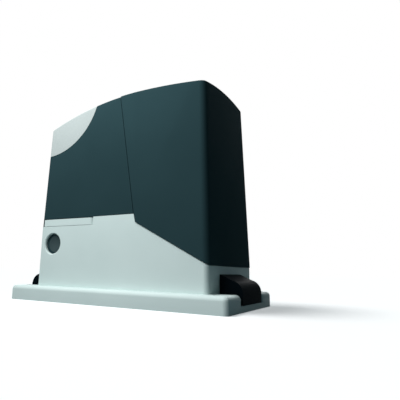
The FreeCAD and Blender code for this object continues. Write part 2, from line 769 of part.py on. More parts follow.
def tooth_wire(teeth, module, thinning, angle, height):
    """Closed outline of a gear with involute flanks, turned by an angle and lifted."""
    pressure = math.radians(size.pressure_angle.number)
    pitch = teeth * module / 2
    base = pitch * math.cos(pressure)
    tip = pitch + module
    root = pitch - 1.2 * module
    half_tooth = math.pi / (2 * teeth) - thinning / pitch + math.tan(pressure) - pressure
    low = max(base, root)
    flank = []
    for step in range(4):
        radius = low + (tip - low) * step / 3
        roll = math.acos(min(1.0, base / radius))
        flank.append((radius, half_tooth - (math.tan(roll) - roll)))

    def at(radius, turn):
        return Vector(radius * math.cos(turn + angle), radius * math.sin(turn + angle), height)

    edges = []
    step_angle = 2 * math.pi / teeth
    for tooth in range(teeth):
        middle = (tooth + 0.5) * step_angle
        rising = [at(radius, middle - turn) for radius, turn in flank]
        falling = [at(radius, middle + turn) for radius, turn in reversed(flank)]
        start = at(root, middle - flank[0][1])
        end = at(root, middle + flank[0][1])
        if low > root:
            edges.append(Part.LineSegment(start, rising[0]).toShape())
        curve = Part.BSplineCurve()
        curve.interpolate(rising)
        edges.append(curve.toShape())
        edges.append(Part.Arc(rising[-1], at(tip, middle), falling[0]).toShape())
        curve = Part.BSplineCurve()
        curve.interpolate(falling)
        edges.append(curve.toShape())
        if low > root:
            edges.append(Part.LineSegment(falling[-1], end).toShape())
        next_start = at(root, middle + step_angle - flank[0][1])
        edges.append(Part.Arc(end, at(root, middle + step_angle / 2), next_start).toShape())
    return Part.Wire(edges)


def along_y(y):
    return Placement(Vector(output_x.number, float(y), output_z.number), turn_to_axis["y"])


def worm_wheel():
    """The bronze wheel: slanted involute teeth, thinned web, hub with two notches behind."""
    teeth = int(size.wheel_teeth.number)
    width = size.wheel_width.number
    module = size.worm_module.number
    slant = lead.number / (2 * math.pi * size.worm_pitch_radius.number)
    half_turn = slant * (width / 2) / wheel_pitch_radius.number
    wires = [tooth_wire(teeth, module, size.tooth_slack.number, turn, height)
             for turn, height in ((-half_turn, 0), (half_turn, width))]
    toothed = Part.makeLoft(wires, True, True)
    start = size.wheel_middle - size.wheel_width / 2
    rim = made("WheelTeeth", toothed, along_y(start))
    rim_radius = wheel_pitch_radius - size.wheel_rim
    side = (size.wheel_width - size.wheel_web) / 2
    grooves = [ring("WheelGroove", "y", (output_x, y, output_z), size.hub_radius - 1, rim_radius,
                    side + 1)
               for y in (start - 1, start + size.wheel_width - side)]
    hub = rod("WheelHub", "y", (output_x, size.wheel_middle - size.hub_front, output_z),
              size.hub_radius, size.hub_front + size.hub_back)
    bore = rod("WheelBore", "y", (output_x, size.wheel_middle - size.hub_front - 1, output_z),
               size.shaft_radius, size.hub_front + size.hub_back + 2)
    notch = block("WheelNotch", (output_x - size.hub_radius - 1, output_x + size.hub_radius + 1),
                  (size.wheel_middle + size.hub_back - size.notch_depth,
                   size.wheel_middle + size.hub_back + 1),
                  (output_z - size.clutch_pin_radius - 0.1, output_z + size.clutch_pin_radius + 0.1))
    solid = fuse("WheelSolid", cut("WheelRim", rim, *grooves), hub)
    return node("worm_wheel", cut("Wheel", solid, bore, notch))


clutch_pin_y = size.wheel_middle + size.hub_back - size.notch_depth + size.clutch_pin_radius + 0.1
clutch_bore_end = clutch_pin_y + size.clutch_pin_radius + size.spring_length
plunger_tip = lever_pivot_y + size.cam_radius + size.plunger_gap
shaft_end = pinion_front + size.pinion_width


def output_shaft():
    profile = [(0, shaft_front), (size.shaft_radius, shaft_front),
               (size.shaft_radius, pinion_front), (size.pinion_bore, pinion_front),
               (size.pinion_bore, shaft_end - 0.5), (0, shaft_end - 0.5)]
    shaft = turned("ShaftTurned", "y", (output_x, 0, output_z), profile)
    bore = rod("ClutchBore", "y", (output_x, shaft_front - 1, output_z),
               size.clutch_bore, clutch_bore_end - shaft_front + 1)
    slot = block("ClutchSlot", (output_x - 20, output_x + 20),
                 (clutch_pin_y - size.clutch_pin_radius - 0.2,
                  clutch_pin_y + size.clutch_pin_radius + size.clutch_travel + 0.5),
                 (output_z - size.clutch_pin_radius - 0.1, output_z + size.clutch_pin_radius + 0.1))
    thread = rod("PinionThread", "y", (output_x, shaft_end - 20, output_z), 4, 21)
    keyway = block("ShaftKeyway", (output_x - size.key_width / 2, output_x + size.key_width / 2),
                   (pinion_front + 3, shaft_end - 3),
                   (output_z + size.pinion_bore - 3, output_z + size.pinion_bore + 1))
    return node("output_shaft", cut("Shaft", shaft, bore, slot, thread, keyway))


def bearing(name, axis, at, inner, outer, width):
    """A ball bearing: two rings with a groove each side of the balls, drawn as one ring."""
    third = (outer - inner) / 3
    groove = width * 0.12
    near = inner + third
    far = outer - third
    return node(name, turned(f"{name}Ring", axis, at, [
        (inner, 0), (near, 0), (near, groove), (far, groove), (far, 0), (outer, 0),
        (outer, width), (far, width), (far, width - groove), (near, width - groove),
        (near, width), (inner, width)]))


def output_bearings():
    outer = size.bearing_radius - size.bearing_fit
    inner = size.shaft_radius + size.running_gap
    bearing("output_bearing_front", "y", (output_x, shaft_front + 2, output_z), inner, outer,
            size.bearing_width)
    rear = body_rear - size.rear_bearing_depth
    bearing("output_bearing_rear", "y", (output_x, rear, output_z), inner, outer,
            size.bearing_width)
    seal_y = body_rear - size.seal_width - 1
    node("oil_seal", turned("SealRing", "y", (output_x, seal_y, output_z), [
        (inner, 0), (outer, 0), (outer, size.seal_width), (inner + 3, size.seal_width),
        (inner, size.seal_width - 3)]))
    spacer_start = shaft_front + 2 + size.bearing_width
    node("wheel_spacer", ring("SpacerRing", "y", (output_x, spacer_start, output_z),
                              size.shaft_radius, size.shaft_radius + 3,
                              size.wheel_middle - size.hub_front - spacer_start))


def drive_pinion():
    teeth = int(size.pinion_teeth.number)
    wire = tooth_wire(teeth, size.pinion_module.number, 0.05, 0, 0)
    solid = Part.Face(wire).extrude(Vector(0, 0, size.pinion_width.number))
    gear = made("PinionTeeth", solid, along_y(pinion_front))
    bore = rod("PinionBore", "y", (output_x, pinion_front - 1, output_z), size.pinion_bore,
               size.pinion_width + 2)
    key_slot = block("PinionKeyway", (output_x - size.key_width / 2, output_x + size.key_width / 2),
                     (pinion_front - 1, shaft_end + 1), (output_z, output_z + size.pinion_bore + 3))
    node("drive_pinion", cut("Pinion", gear, bore, key_slot))
    node("pinion_key", block("Key", (output_x - size.key_width / 2, output_x + size.key_width / 2),
                             (pinion_front + 3, shaft_end - 3),
                             (output_z + size.pinion_bore - 3, output_z + size.pinion_bore + 2.8)))
    node("pinion_washer", ring("Washer", "y", (output_x, shaft_end, output_z), 4.2, 15,
                               size.pinion_washer))
    head = doc.addObject("Part::Prism", "PinionBoltHead")
    head.Polygon = 6
    bind(head, "Circumradius", 7.5)
    bind(head, "Height", size.pinion_bolt_head)
    place(head, output_x, shaft_end + size.pinion_washer, output_z, "y")
    shank = rod("PinionBoltShank", "y", (output_x, shaft_end - 18, output_z), 4,
                18 + size.pinion_washer + 1)
    node("pinion_bolt", fuse("PinionBolt", head, shank))


def release_clutch():
    """The plunger and cross pin inside the shaft, which free the wheel, and their spring."""
    start = plunger_tip
    end = clutch_pin_y - size.clutch_pin_radius + 2
    radius = size.plunger_radius
    plunger = turned("PlungerTurned", "y", (output_x, start, output_z), [
        (0, 0), (size.plunger_nose, 0.6), (radius, 5), (radius, end - start), (0, end - start)])
    pin = rod("PinRod", "x", (output_x - size.clutch_pin_length / 2, clutch_pin_y, output_z),
              size.clutch_pin_radius, size.clutch_pin_length)
    node("release_plunger", cut("Plunger", plunger,
                                rod("PinSeat", "x", (output_x - 10, clutch_pin_y, output_z),
                                    size.clutch_pin_radius, 20)))
    node("clutch_pin", pin)
    coil_radius = size.clutch_bore - size.spring_wire - 0.4
    start_y = clutch_pin_y + size.clutch_pin_radius + size.spring_wire
    length = size.spring_length - 2 * size.spring_wire
    helix = Part.makeHelix(length.number / size.spring_turns.number, length.number,
                           coil_radius.number)
    wire = Part.Wire([Part.Circle(Vector(coil_radius.number, 0, 0), Vector(0, 1, 0),
                                  size.spring_wire.number / 1.3).toShape()])
    coil = Part.Wire(helix.Edges).makePipeShell([wire], True, True)
    node("release_spring", made("Spring", coil, along_y(start_y)))


def worm_shaft():
    """The motor's shaft with the worm cut on its lower half, in one piece."""
    body = doc.addObject("PartDesign::Body", "WormShaft")
    root = size.worm_pitch_radius - 1.2 * size.worm_module
    low = size.floor_thickness + size.worm_bearing_width + 1
    half = size.worm_length / 2 + 3
    neck = size.worm_shaft_radius
    top = motor_top + size.end_cap_height + size.encoder_height + 3
    sketch = draw(body, "XZ_Plane", [
        (0, low), (neck, low), (neck, output_z - half), (root, output_z - half + 2),
        (root, output_z + half - 2), (neck, output_z + half), (neck, motor_top - 6),
        (size.top_shaft_radius, motor_top - 6), (size.top_shaft_radius, top), (0, top)])
    core = body.newObject("PartDesign::Revolution", "WormCore")
    core.Profile = sketch
    core.ReferenceAxis = (sketch, ["V_Axis"])
    core.Angle = 360
    slope = math.tan(math.radians(size.pressure_angle.number))
    turns = 5
    mid = output_z - lead * (turns / 2)
    half_pitch = lead / 4 - size.tooth_slack
    inner = root - 0.4
    outer = size.worm_pitch_radius + size.worm_module * 0.96
    wide = half_pitch + (size.worm_pitch_radius - inner) * slope
    slim = half_pitch - (outer - size.worm_pitch_radius) * slope
    profile = draw(body, "XZ_Plane", [(inner, mid - wide), (outer, mid - slim),
                                      (outer, mid + slim), (inner, mid + wide)])
    thread = body.newObject("PartDesign::AdditiveHelix", "WormThread")
    thread.Profile = profile
    thread.ReferenceAxis = (profile, ["V_Axis"])
    thread.Mode = 0
    bind(thread, "Pitch", lead)
    bind(thread, "Height", lead * turns)
    place(body, worm_x, worm_y, 0)
    return node("worm_shaft", body)


motor_low = size.motor_seat + size.motor_flange
motor_top = motor_low + size.can_length


def motor():
    middle = (worm_x, worm_y, motor_low)
    shaft = size.worm_shaft_radius
    can_inner = size.can_radius - size.can_wall
    flange_disc = turned("MotorFlangeTurned", "z", (worm_x, worm_y, size.motor_seat), [
        (shaft + 1, 0), (size.motor_flange_radius, 0), (size.motor_flange_radius, size.motor_flange),
        (shaft + 1, size.motor_flange)])
    holes = [rod("MotorFlangeHole", "z", (x, y, size.motor_seat - 1), small_screw_hole,
                 size.motor_flange + 2)
             for x, y in motor_screw_places()]
    node("motor_flange", cut("MotorFlange", flange_disc, *holes))
    node("motor_can", ring("Can", "z", middle, can_inner, size.can_radius, size.can_length))
    magnet_ring = ring("MagnetRing", "z", (worm_x, worm_y, motor_low + 8),
                       can_inner - size.magnet_thickness, can_inner, size.can_length - 26)
    gap = block("MagnetGap", (worm_x - size.can_radius, worm_x + size.can_radius),
                (worm_y - 14, worm_y + 14), (motor_low, motor_top))
    node("motor_magnets", cut("Magnets", magnet_ring, gap))
    armature_low = motor_low + 9
    stack = rod("ArmatureStack", "z", (worm_x, worm_y, armature_low), size.armature_radius,
                size.armature_length)
    grooves = []
    for step in range(12):
        angle = math.radians(30 * step)
        x = worm_x + size.armature_radius * math.cos(angle)
        y = worm_y + size.armature_radius * math.sin(angle)
        grooves.append(rod("ArmatureSlot", "z", (x, y, armature_low - 1), 2.5,
                           size.armature_length + 2))
    bore = rod("ArmatureBore", "z", (worm_x, worm_y, armature_low - 1), shaft,
               size.armature_length + 2)
    node("armature", cut("Armature", stack, bore, *grooves))
    comm_low = motor_top - 20
    node("commutator", ring("CommutatorRing", "z", (worm_x, worm_y, comm_low), shaft,
                            size.commutator_radius, 14))
    brushes = []
    for side in (-1, 1):
        start = size.commutator_radius + 0.2
        x = (worm_x + start, worm_x + start + 16) if side > 0 \
            else (worm_x - start - 16, worm_x - start)
        brushes.append(block("Brush", x, (worm_y - 3.5, worm_y + 3.5), (comm_low + 3, comm_low + 11)))
    node("motor_brushes", fuse("BrushPair", *brushes))
    cap = turned("EndCapTurned", "z", (worm_x, worm_y, motor_top), [
        (size.top_bearing_radius, 0), (size.can_radius, 0), (size.can_radius, 10),
        (size.can_radius - 8, size.end_cap_height), (size.top_shaft_radius + 1, size.end_cap_height),
        (size.top_shaft_radius + 1, size.top_bearing_width + 4),
        (size.top_bearing_radius, size.top_bearing_width + 4)])
    node("motor_end_cap", cap)
    bearing("motor_bearing", "z", (worm_x, worm_y, motor_top + 3), size.top_shaft_radius + 0.03,
            size.top_bearing_radius - size.bearing_fit, size.top_bearing_width)
    bearing("worm_bearing_lower", "z",
            (worm_x, worm_y, size.floor_thickness + size.worm_bearing_width),
            shaft + 0.03, size.worm_bore - size.bearing_fit, size.worm_bearing_width)
    bearing("worm_bearing_upper", "z",
            (worm_x, worm_y, size.motor_seat - size.worm_bearing_width),
            shaft + 0.03, size.worm_bore - size.bearing_fit, size.worm_bearing_width)
    magnet_low = motor_top + size.end_cap_height + 0.5
    node("encoder_magnet", ring("EncoderRing", "z", (worm_x, worm_y, magnet_low),
                                size.top_shaft_radius, size.encoder_radius, size.encoder_height))
    node("encoder_board", encoder_board())
    screws = []
    for x, y in motor_screw_places():
        shank = rod("MotorScrewShank", "z", (x, y, motor_low - size.motor_flange - 10),
                    size.small_screw_radius, size.motor_flange + 11)
        head = rod("MotorScrewHead", "z", (x, y, motor_low), 3.3, 3)
        screws.append(fuse("MotorScrew", shank, head))
    node("motor_screws", fuse("MotorScrews", *screws))


def motor_screw_places():
    """Four screws round the motor, at its flange's corners."""
    reach = size.can_radius + 4
    places = []
    for step in range(4):
        angle = math.radians(45 + 90 * step)
        places.append((worm_x + reach * math.cos(angle), worm_y + reach * math.sin(angle)))
    return places


def encoder_board():
    low = motor_top + size.end_cap_height
    board = block("EncoderPlate", (worm_x + size.encoder_radius + 1, worm_x + 29),
                  (worm_y - 12, worm_y + 12), (low, low + size.board_thickness))
    sensor = block("EncoderSensor", (worm_x + size.encoder_radius + 1.5, worm_x + 19),
                   (worm_y - 3, worm_y + 3), (low + size.board_thickness - 0.2, low + 5))
    return fuse("EncoderBoard", board, sensor)


def lever_outline():
    back = body_front + size.lever_thickness
    end = size.pivot_end
    return [(lever_left, body_front), (lever_pivot_x, body_front),
            ("via", lever_pivot_x + end, lever_pivot_y), (lever_pivot_x, lever_pivot_y + end),
            (lever_pivot_x - end * 1.4, back), (lever_left, back)]


def release_lever():
    """The strip at the front, with the hook that the lock's tongue holds."""
    low = size.lever_seat + size.lever_gap
    strip = prism("LeverStrip", "z", low, size.lever_height, lever_outline())
    back = body_front + size.lever_thickness
    bar_front = lock_rear + 2 * size.seat_gap + size.tongue_thickness + size.seat_gap
    arm_right = lock_x - size.tongue_width / 2 - 2
    hook_z = (low + 1.5, low + 1.5 + size.hook_height)
    arm = block("HookArm", (arm_right - size.hook_width, arm_right), (back - 1, bar_front + 3),
                hook_z)
    bar = block("HookBar", (arm_right - 1, arm_right + size.hook_bar), (bar_front, bar_front + 3),
                hook_z)
    bore = rod("LeverShaftBore", "z", (lever_pivot_x, lever_pivot_y, low - 1), size.pivot_radius,
               size.lever_height - 1)
    node("release_lever", cut("Lever", fuse("LeverSolid", strip, arm, bar), bore))


def release_cam():
    """The upright shaft with its spiral cam: each degree of turn pushes the same distance."""
    radius = size.cam_radius.number
    travel = size.clutch_travel.number
    last = 90 + size.cam_early.number
    rim = []
    for step in range(9):
        angle = last * step / 8
        reach = radius + travel * (90 - angle) / 90
        rim.append(Vector(reach * math.cos(math.radians(angle)),
                          reach * math.sin(math.radians(angle)), 0))
    curve = Part.BSplineCurve()
    curve.interpolate(rim)
    outline = Part.Wire([curve.toShape(), Part.LineSegment(rim[-1], Vector()).toShape(),
                         Part.LineSegment(Vector(), rim[0]).toShape()])
    sector = Part.Face(outline).extrude(Vector(0, 0, size.cam_thickness.number))
    low = output_z - size.cam_thickness / 2
    lobe = made("CamLobe", sector, Placement(Vector(lever_pivot_x.number, lever_pivot_y.number,
                                                    low.number), Rotation()))
    shaft_low = low - 8
    shaft = rod("CamShaft", "z", (lever_pivot_x, lever_pivot_y, shaft_low), size.pivot_radius,
                size.lever_seat + size.lever_gap + size.lever_height - 2 - shaft_low)
    node("release_cam", fuse("Cam", shaft, lobe))


def lock():
    at = (lock_x, lock_front, lock_z)
    node("lock_barrel", ring("Barrel", "y", at, size.plug_radius + size.running_gap,
                             size.lock_radius - size.bearing_fit, size.lock_length))
    rear = size.lock_length + size.seat_gap
    plug = turned("PlugTurned", "y", at, [(0, 0), (size.plug_radius, 0), (size.plug_radius, rear),
                                          (4, rear), (4, rear + size.tongue_thickness + 1),
                                          (0, rear + size.tongue_thickness + 1)])
    key_slot = block("KeySlot", (lock_x - 1, lock_x + 1), (lock_front - 1, lock_front + 12),
                     (lock_z - 4.5, lock_z + 4.5))
    node("lock_plug", cut("Plug", plug, key_slot))
    tongue_y = lock_front + rear
    half = size.tongue_width / 2
    arm = block("TongueArm", (lock_x, lock_x + size.tongue_length - half),
                (tongue_y, tongue_y + size.tongue_thickness), (lock_z - half, lock_z + half))
    tip = rod("TongueTip", "y", (lock_x + size.tongue_length - half, tongue_y, lock_z), half,
              size.tongue_thickness)
    eye = rod("TongueEye", "y", (lock_x, tongue_y, lock_z), size.plug_radius,
              size.tongue_thickness)
    hole = rod("TongueHole", "y", (lock_x, tongue_y - 1, lock_z), 4, size.tongue_thickness + 2)
    node("lock_tongue", cut("Tongue", fuse("TongueSolid", arm, tip, eye), hole))
    node("lock_clip", ring("LockClip", "y", (lock_x, tongue_y + size.tongue_thickness, lock_z),
                           4, 6, 1))
    half = size.lock_cover_size / 2
    near = inner_front + size.seat_gap
    plate = block("LockCoverPlate", (lock_x - half, lock_x + half),
                  (near, near + size.lock_cover_thickness), (lock_z - half, lock_z + half))
    plate = rounded("LockCoverCorners", plate, 4, lambda edge: edge.BoundBox.YLength > 1)
    dimple = rod("ThumbDimple", "y", (lock_x, near - 1, lock_z), 5, 1.5)
    node("lock_cover", cut("LockCover", plate, dimple))


def cover_outline(inset, dip):
    """Front outline of the dark cover down to its lower edge, drawn inwards by an inset."""
    top = size.roof_apex + 40
    low_left = size.lever_seat + size.cover_gap - dip
    low_right = size.body_low + size.cover_gap - dip

    def left_at(z):
        return roof_left_end - size.left_draft * (size.roof_left - z) + inset

    def right_at(z):
        return roof_right_end + size.right_draft * (size.roof_right - z) - inset

    gap = size.cover_gap - dip
    return [(left_at(low_left), low_left), (lever_notch_end, low_left),
            (lever_notch_end, size.body_high + gap), (size.step_left + 0.4, size.body_high + gap + 0.5),
            (knee_x + 0.4, knee_height + gap), (right_at(low_right), low_right),
            (right_at(top), top), (left_at(top), top)]


def cover_side(inset):
    """Outline of the cover seen from its end: an upright front and a rear that leans in."""
    top = size.roof_apex + 40
    front = body_front - size.cover_proud + inset
    low = size.body_low - 20

    def rear_at(z):
        return body_rear + size.cover_proud - size.rear_draft * (z - size.body_low) - inset

    return [(front, low), (rear_at(low), low), (rear_at(top), top), (front, top)]


def roof_solid(inset):
    """Everything under the roof: a crowned section carried along the roof's front line."""
    apex_x = size.apex_offset.number
    apex_z = size.roof_apex.number - inset
    left_run = apex_x - roof_left_end.number
    left_drop = size.roof_apex.number - size.roof_left.number
    right_run = roof_right_end.number - apex_x
    right_drop = size.roof_apex.number - size.roof_right.number
    left_radius = (left_run ** 2 + left_drop ** 2) / (2 * left_drop)
    right_radius = (right_run ** 2 + right_drop ** 2) / (2 * right_drop)

    def roof_at(x):
        radius = left_radius if x < apex_x else right_radius
        run = x - apex_x
        return Vector(x, 0, apex_z - radius + math.sqrt(radius ** 2 - run ** 2))

    left_end = roof_left_end.number - 12
    right_end = roof_right_end.number + 12
    apex = roof_at(apex_x)
    path = Part.Wire([
        Part.Arc(roof_at(left_end), roof_at((left_end + apex_x) / 2), apex).toShape(),
        Part.Arc(apex, roof_at((right_end + apex_x) / 2), roof_at(right_end)).toShape()])
    front = body_front.number - size.cover_proud.number
    middle = size.crown_middle.number
    rise = size.crown_rise.number
    run = middle - front
    crown_radius = (run ** 2 + rise ** 2) / (2 * rise)
    start = roof_at(left_end)

    def crown_at(y):
        drop = crown_radius - math.sqrt(crown_radius ** 2 - (y - middle) ** 2)
        return Vector(start.x, y, start.z + rise - drop)

    ahead = front - 8
    behind = body_rear.number + 10
    depth = Vector(0, 0, -(start.z - 20))
    crown = [crown_at(ahead), crown_at((ahead + behind) / 2), crown_at(behind)]
    low_front = Vector(start.x, ahead, 20)
    low_back = Vector(start.x, behind, 20)
    section = Part.Wire([
        Part.Arc(*crown).toShape(), Part.LineSegment(crown[2], low_back).toShape(),
        Part.LineSegment(low_back, low_front).toShape(),
        Part.LineSegment(low_front, crown[0]).toShape()])
    sweep = Part.BRepOffsetAPI.MakePipeShell(path)
    sweep.setTrihedronMode(start, Vector(0, 1, 0))
    sweep.add(section)
    sweep.build()
    sweep.makeSolid()
    return sweep.shape()


def cover_solid(name, inset, dip, round_roof=False):
    """The cover's form as one solid, drawn inwards by an inset."""
    front_view = prism(f"{name}Front", "y", body_front - 20, body_rear - body_front + 40,
                       cover_outline(inset, dip))
    side_view = prism(f"{name}Side", "x", -base_half, size.base_length, cover_side(inset))
    roof = made(f"{name}Roof", roof_solid(float(inset)))
    form = common(f"{name}Block", front_view, side_view, roof)
    doc.recompute()
    shaped = doc.addObject("Part::Fillet", name)
    shaped.Base = form
    shaped.Edges = chosen_edges(form, size.cover_corner - inset, cover_upright)
    if round_roof:
        shaped.Edges += chosen_edges(form, size.cover_edge, roof_edge)
    return shaped


def cover_upright(edge):
    middle = edge.CenterOfMass
    near_end = middle.x < body_left.number + 25 or middle.x > body_right.number - 25
    return upright(edge) and near_end and edge.Length > 30


def roof_edge(edge):
    """True for the edges where the roof meets the cover's walls."""
    box = edge.BoundBox
    is_ridge = box.XLength < 0.1 and abs(box.XMin - size.apex_offset.number) < 0.1
    return box.ZMin > size.roof_left.number - 12 and not upright(edge) and not is_ridge


def seam_at(z):
    slope = (size.seam_bottom - size.seam_top) / (size.seam_top_height - size.seam_bottom_height)
    return size.seam_top + slope * (size.seam_top_height - z)


def seam_region(name, side, shift):
    """All that lies on one side of the slanted seam."""
    top = size.roof_apex + 60
    low = size.body_low - 30
    bend = size.seam_bottom_height
    far = side * base_half
    line = [(seam_at(top) + shift, top), (seam_at(bend) + shift, bend), (seam_at(bend) + shift, low)]
    outer = [(far, low), (far, top)]
    points = line + outer
    if side > 0:
        points = list(reversed(points))
    return prism(name, "y", body_front - 30, body_rear - body_front + 60, points)


def tower_notch(name):
    """The gap in the cover's back round the limit switch tower."""
    half = size.tower_width / 2 + size.cover_gap
    top = tower_top + size.cover_gap
    gap = block(name, (output_x - half, output_x + half),
                (body_rear - size.tower_depth - 4, body_rear + 20), (size.body_low - 10, top))
    return rounded(f"{name}Corners", gap, size.tower_radius,
                   lambda edge: edge.BoundBox.YLength > 10
                   and abs(edge.CenterOfMass.z - top.number) < 0.1)


def covers():
    """The two dark shells, the pale corner panel and the screws that hold them."""
    wall = size.cover_wall
    step = size.left_shell_inset
    right_outer = cover_solid("RightForm", amount_of(0), 0, round_roof=True)
    right_inner = cover_solid("RightHollow", wall, 40)
    left_outer = cover_solid("LeftForm", step, 0, round_roof=True)
    left_inner = cover_solid("LeftHollow", wall + step, 40)
    half_gap = size.seam_gap / 2
    right_shell = common("RightShell", cut("RightWalls", right_outer, right_inner),
                         seam_region("RightOfSeam", 1, half_gap))
    lip_outer = cover_solid("LipForm", wall + step + 0.2, 0)
    lip_inner = cover_solid("LipHollow", wall + step + 0.2 + size.lip_thickness, 40)
    lip_band = cut("LipBand", seam_region("LipRight", 1, -size.lip_width),
                   seam_region("LipLeft", 1, size.lip_width))
    lip = common("SeamLip", cut("LipWalls", lip_outer, lip_inner), lip_band)
    lip_joint = common("LipJoint", cut("LipJointWalls", cover_solid("LipJointForm", wall - 0.5, 0),
                                       lip_inner),
                       cut("LipJointBand", seam_region("LipJointRight", 1, half_gap + 1),
                           seam_region("LipJointLeft", 1, size.lip_width)))
    holes = [rod("CoverScrewHole", axis, place, size.cover_screw_radius + 0.3, 20)
             for axis, place in (("x", (body_left - 10, 0, size.left_screw_height)),
                                 ("y", (rear_screw_x, body_rear - 10, size.rear_screw_height)))]
    node("motor_cover", cut("MotorCover", fuse("RightAndLip", right_shell, lip, lip_joint),
                            holes[1], tower_notch("NotchRight")))
    left_shell = common("LeftShell", cut("LeftWalls", left_outer, left_inner),
                        seam_region("LeftOfSeam", -1, -half_gap))
    lever_gap = block("LeverOpening", (lever_left - size.lever_end_gap, lever_notch_end + 1),
                      (body_front - 10, body_front + 14), (size.lever_seat - 5, size.body_high))
    skin = cut("PanelSkin", left_outer,
               cover_solid("PanelHollow", step + size.panel_thickness, 40))
    node("corner_panel", common("Panel", skin, panel_wedge("PanelWedge", 0)))
    recess_cut = common("PanelRecess", skin, panel_wedge("RecessWedge", size.panel_gap))
    whole = cut("LeftCover", left_shell, recess_cut, lever_gap, holes[0], tower_notch("NotchLeft"))
    node("control_cover", cut("ControlCover", whole, skirt_region("AboveSkirt")))
    node("cover_skirt", common("CoverSkirt", whole, skirt_region("BelowCover")))


def panel_wedge(name, grow):
    """All that lies on the upper left of the corner panel's curved edge, grown by a gap."""
    right = grow - size.panel_right
    top = size.roof_apex
    return prism(name, "y", body_front - 20, 20 + size.panel_wrap + grow, [
        (body_left - 10, size.panel_bottom - 0.3 - grow), (body_left + 2, size.panel_bottom - grow),
        ("via", 0.7 * grow - size.panel_bulge_left, size.panel_bulge_height - 0.7 * grow),
        (right + 1.5, top), (right + 8, top + 40), (body_left - 10, top + 40)])


def skirt_region(name):
    """The space of the strip that carries the left shell down past the lever's top."""
    return block(name, (body_left - 20, output_x), (body_front - 20, body_rear + 20),
                 (size.lever_seat - 10, size.body_high))


def cover_screw(axis, side, across, height, wall, lug):
    """A screw through a cover wall and its lug, and the square nut behind the lug."""
    def at(along):
        return (along, across, height) if axis == "x" else (across, along, height)

    end = lug - side * (size.nut_thickness + 1.5)
    head_top = wall + side * (size.screw_head_height + 0.1)
    low, high = (head_top, end) if side < 0 else (end, head_top)
    shank = rod("CoverScrewShank", axis, at(low), size.cover_screw_radius, high - low)
    head = rod("CoverScrewHead", axis, at(head_top if side < 0 else wall + 0.1),
               size.cover_screw_head, size.screw_head_height)
    slot_along = (head_top - 1, head_top + 1.2) if side < 0 else (head_top - 1.2, head_top + 1)
    x, y = across_wall(axis, slot_along, (across - 0.8, across + 0.8))
    slot = block("CoverScrewSlot", x, y, (height - 6, height + 6))
    near = lug - side * size.nut_gap
    far = near - side * size.nut_thickness
    nut_along = (near, far) if side < 0 else (far, near)
    half = size.nut_side / 2
    x, y = across_wall(axis, nut_along, (across - half, across + half))
    nut = cut("CoverNut", block("CoverNutBlock", x, y, (height - half, height + half)),
              rod("CoverNutBore", axis, at(nut_along[0] - 1), size.cover_screw_radius,
                  size.nut_thickness + 2))
    return cut("CoverScrew", fuse("CoverScrewSolid", shank, head), slot), nut


def cover_screws():
    """Screws through the cover's walls, with the square nuts that clamp it to the slotted lugs."""
    screws = []
    nuts = []
    for axis, side, across, height, face in [place[:5] for place in lug_places()]:
        lug = face - side * size.lug_thickness
        left_wall = (roof_left_end - size.left_draft * (size.roof_left - height)
                     + size.left_shell_inset - 0.2)
        rear_wall = body_rear + size.cover_proud - size.rear_draft * (height - size.body_low) + 0.35
        wall = left_wall if side < 0 else rear_wall
        screw, nut = cover_screw(axis, side, across, height, wall, lug)
        screws.append(screw)
        nuts.append(nut)
    node("cover_screws", fuse("CoverScrewPair", *screws))
    node("cover_nuts", fuse("CoverNutPair", *nuts))


def limit_switch():
    """The switch behind the tower's window and its sprung stem, which the gate's stops push."""
    pivot_y = body_rear - size.stem_pivot
    back = body_rear - size.body_wall
    half = size.switch_width / 2
    tall = size.switch_tall / 2
    z = size.switch_height
    case = block("SwitchCase", (output_x - half, output_x + half), (back - size.switch_depth, back),
                 (z - tall, z + tall))
    hub_room = rod("HubRoom", "z", (output_x, pivot_y, z - 8), 6, 16)
    way_out = prism("StemWay", "z", z - 5, 10, [
        (output_x - 3, pivot_y), (output_x + 3, pivot_y), (output_x + 10, back + 1),
        (output_x - 10, back + 1)])
    trunnion_bore = rod("TrunnionBore", "z", (output_x, pivot_y, z - 11),
                        2 + size.running_gap, 22)
    node("limit_switch", cut("Switch", case, hub_room, way_out, trunnion_bore))
    hub = rod("StemHub", "z", (output_x, pivot_y, z - 7.7), 5.6, 15.4)
    trunnion = rod("StemTrunnion", "z", (output_x, pivot_y, z - 10.7), 2, 21.4)
    root = rod("StemRoot", "y", (output_x, pivot_y, z), size.stem_radius, size.stem_pivot + 4)
    coil_start = size.stem_pivot + 4
    coils = 12
    pitch = (size.stem_length - coil_start - 3) / coils
    profile = [(0, coil_start - 1), (size.stem_radius - 0.3, coil_start - 1)]
    for turn in range(coils):
        base = coil_start + turn * pitch
        profile.append((size.stem_radius - 0.3, base))
        profile.append(("via", size.stem_radius + 0.5, base + pitch / 2))
    profile.append((size.stem_radius - 0.3, coil_start + coils * pitch))
    profile.append((size.stem_radius, coil_start + coils * pitch))
    profile.append((size.stem_radius, size.stem_length))
    profile.append((0, size.stem_length))
    coil = turned("StemCoil", "y", (output_x, pivot_y, z), profile)
    node("limit_switch_stem", fuse("Stem", hub, trunnion, root, coil))


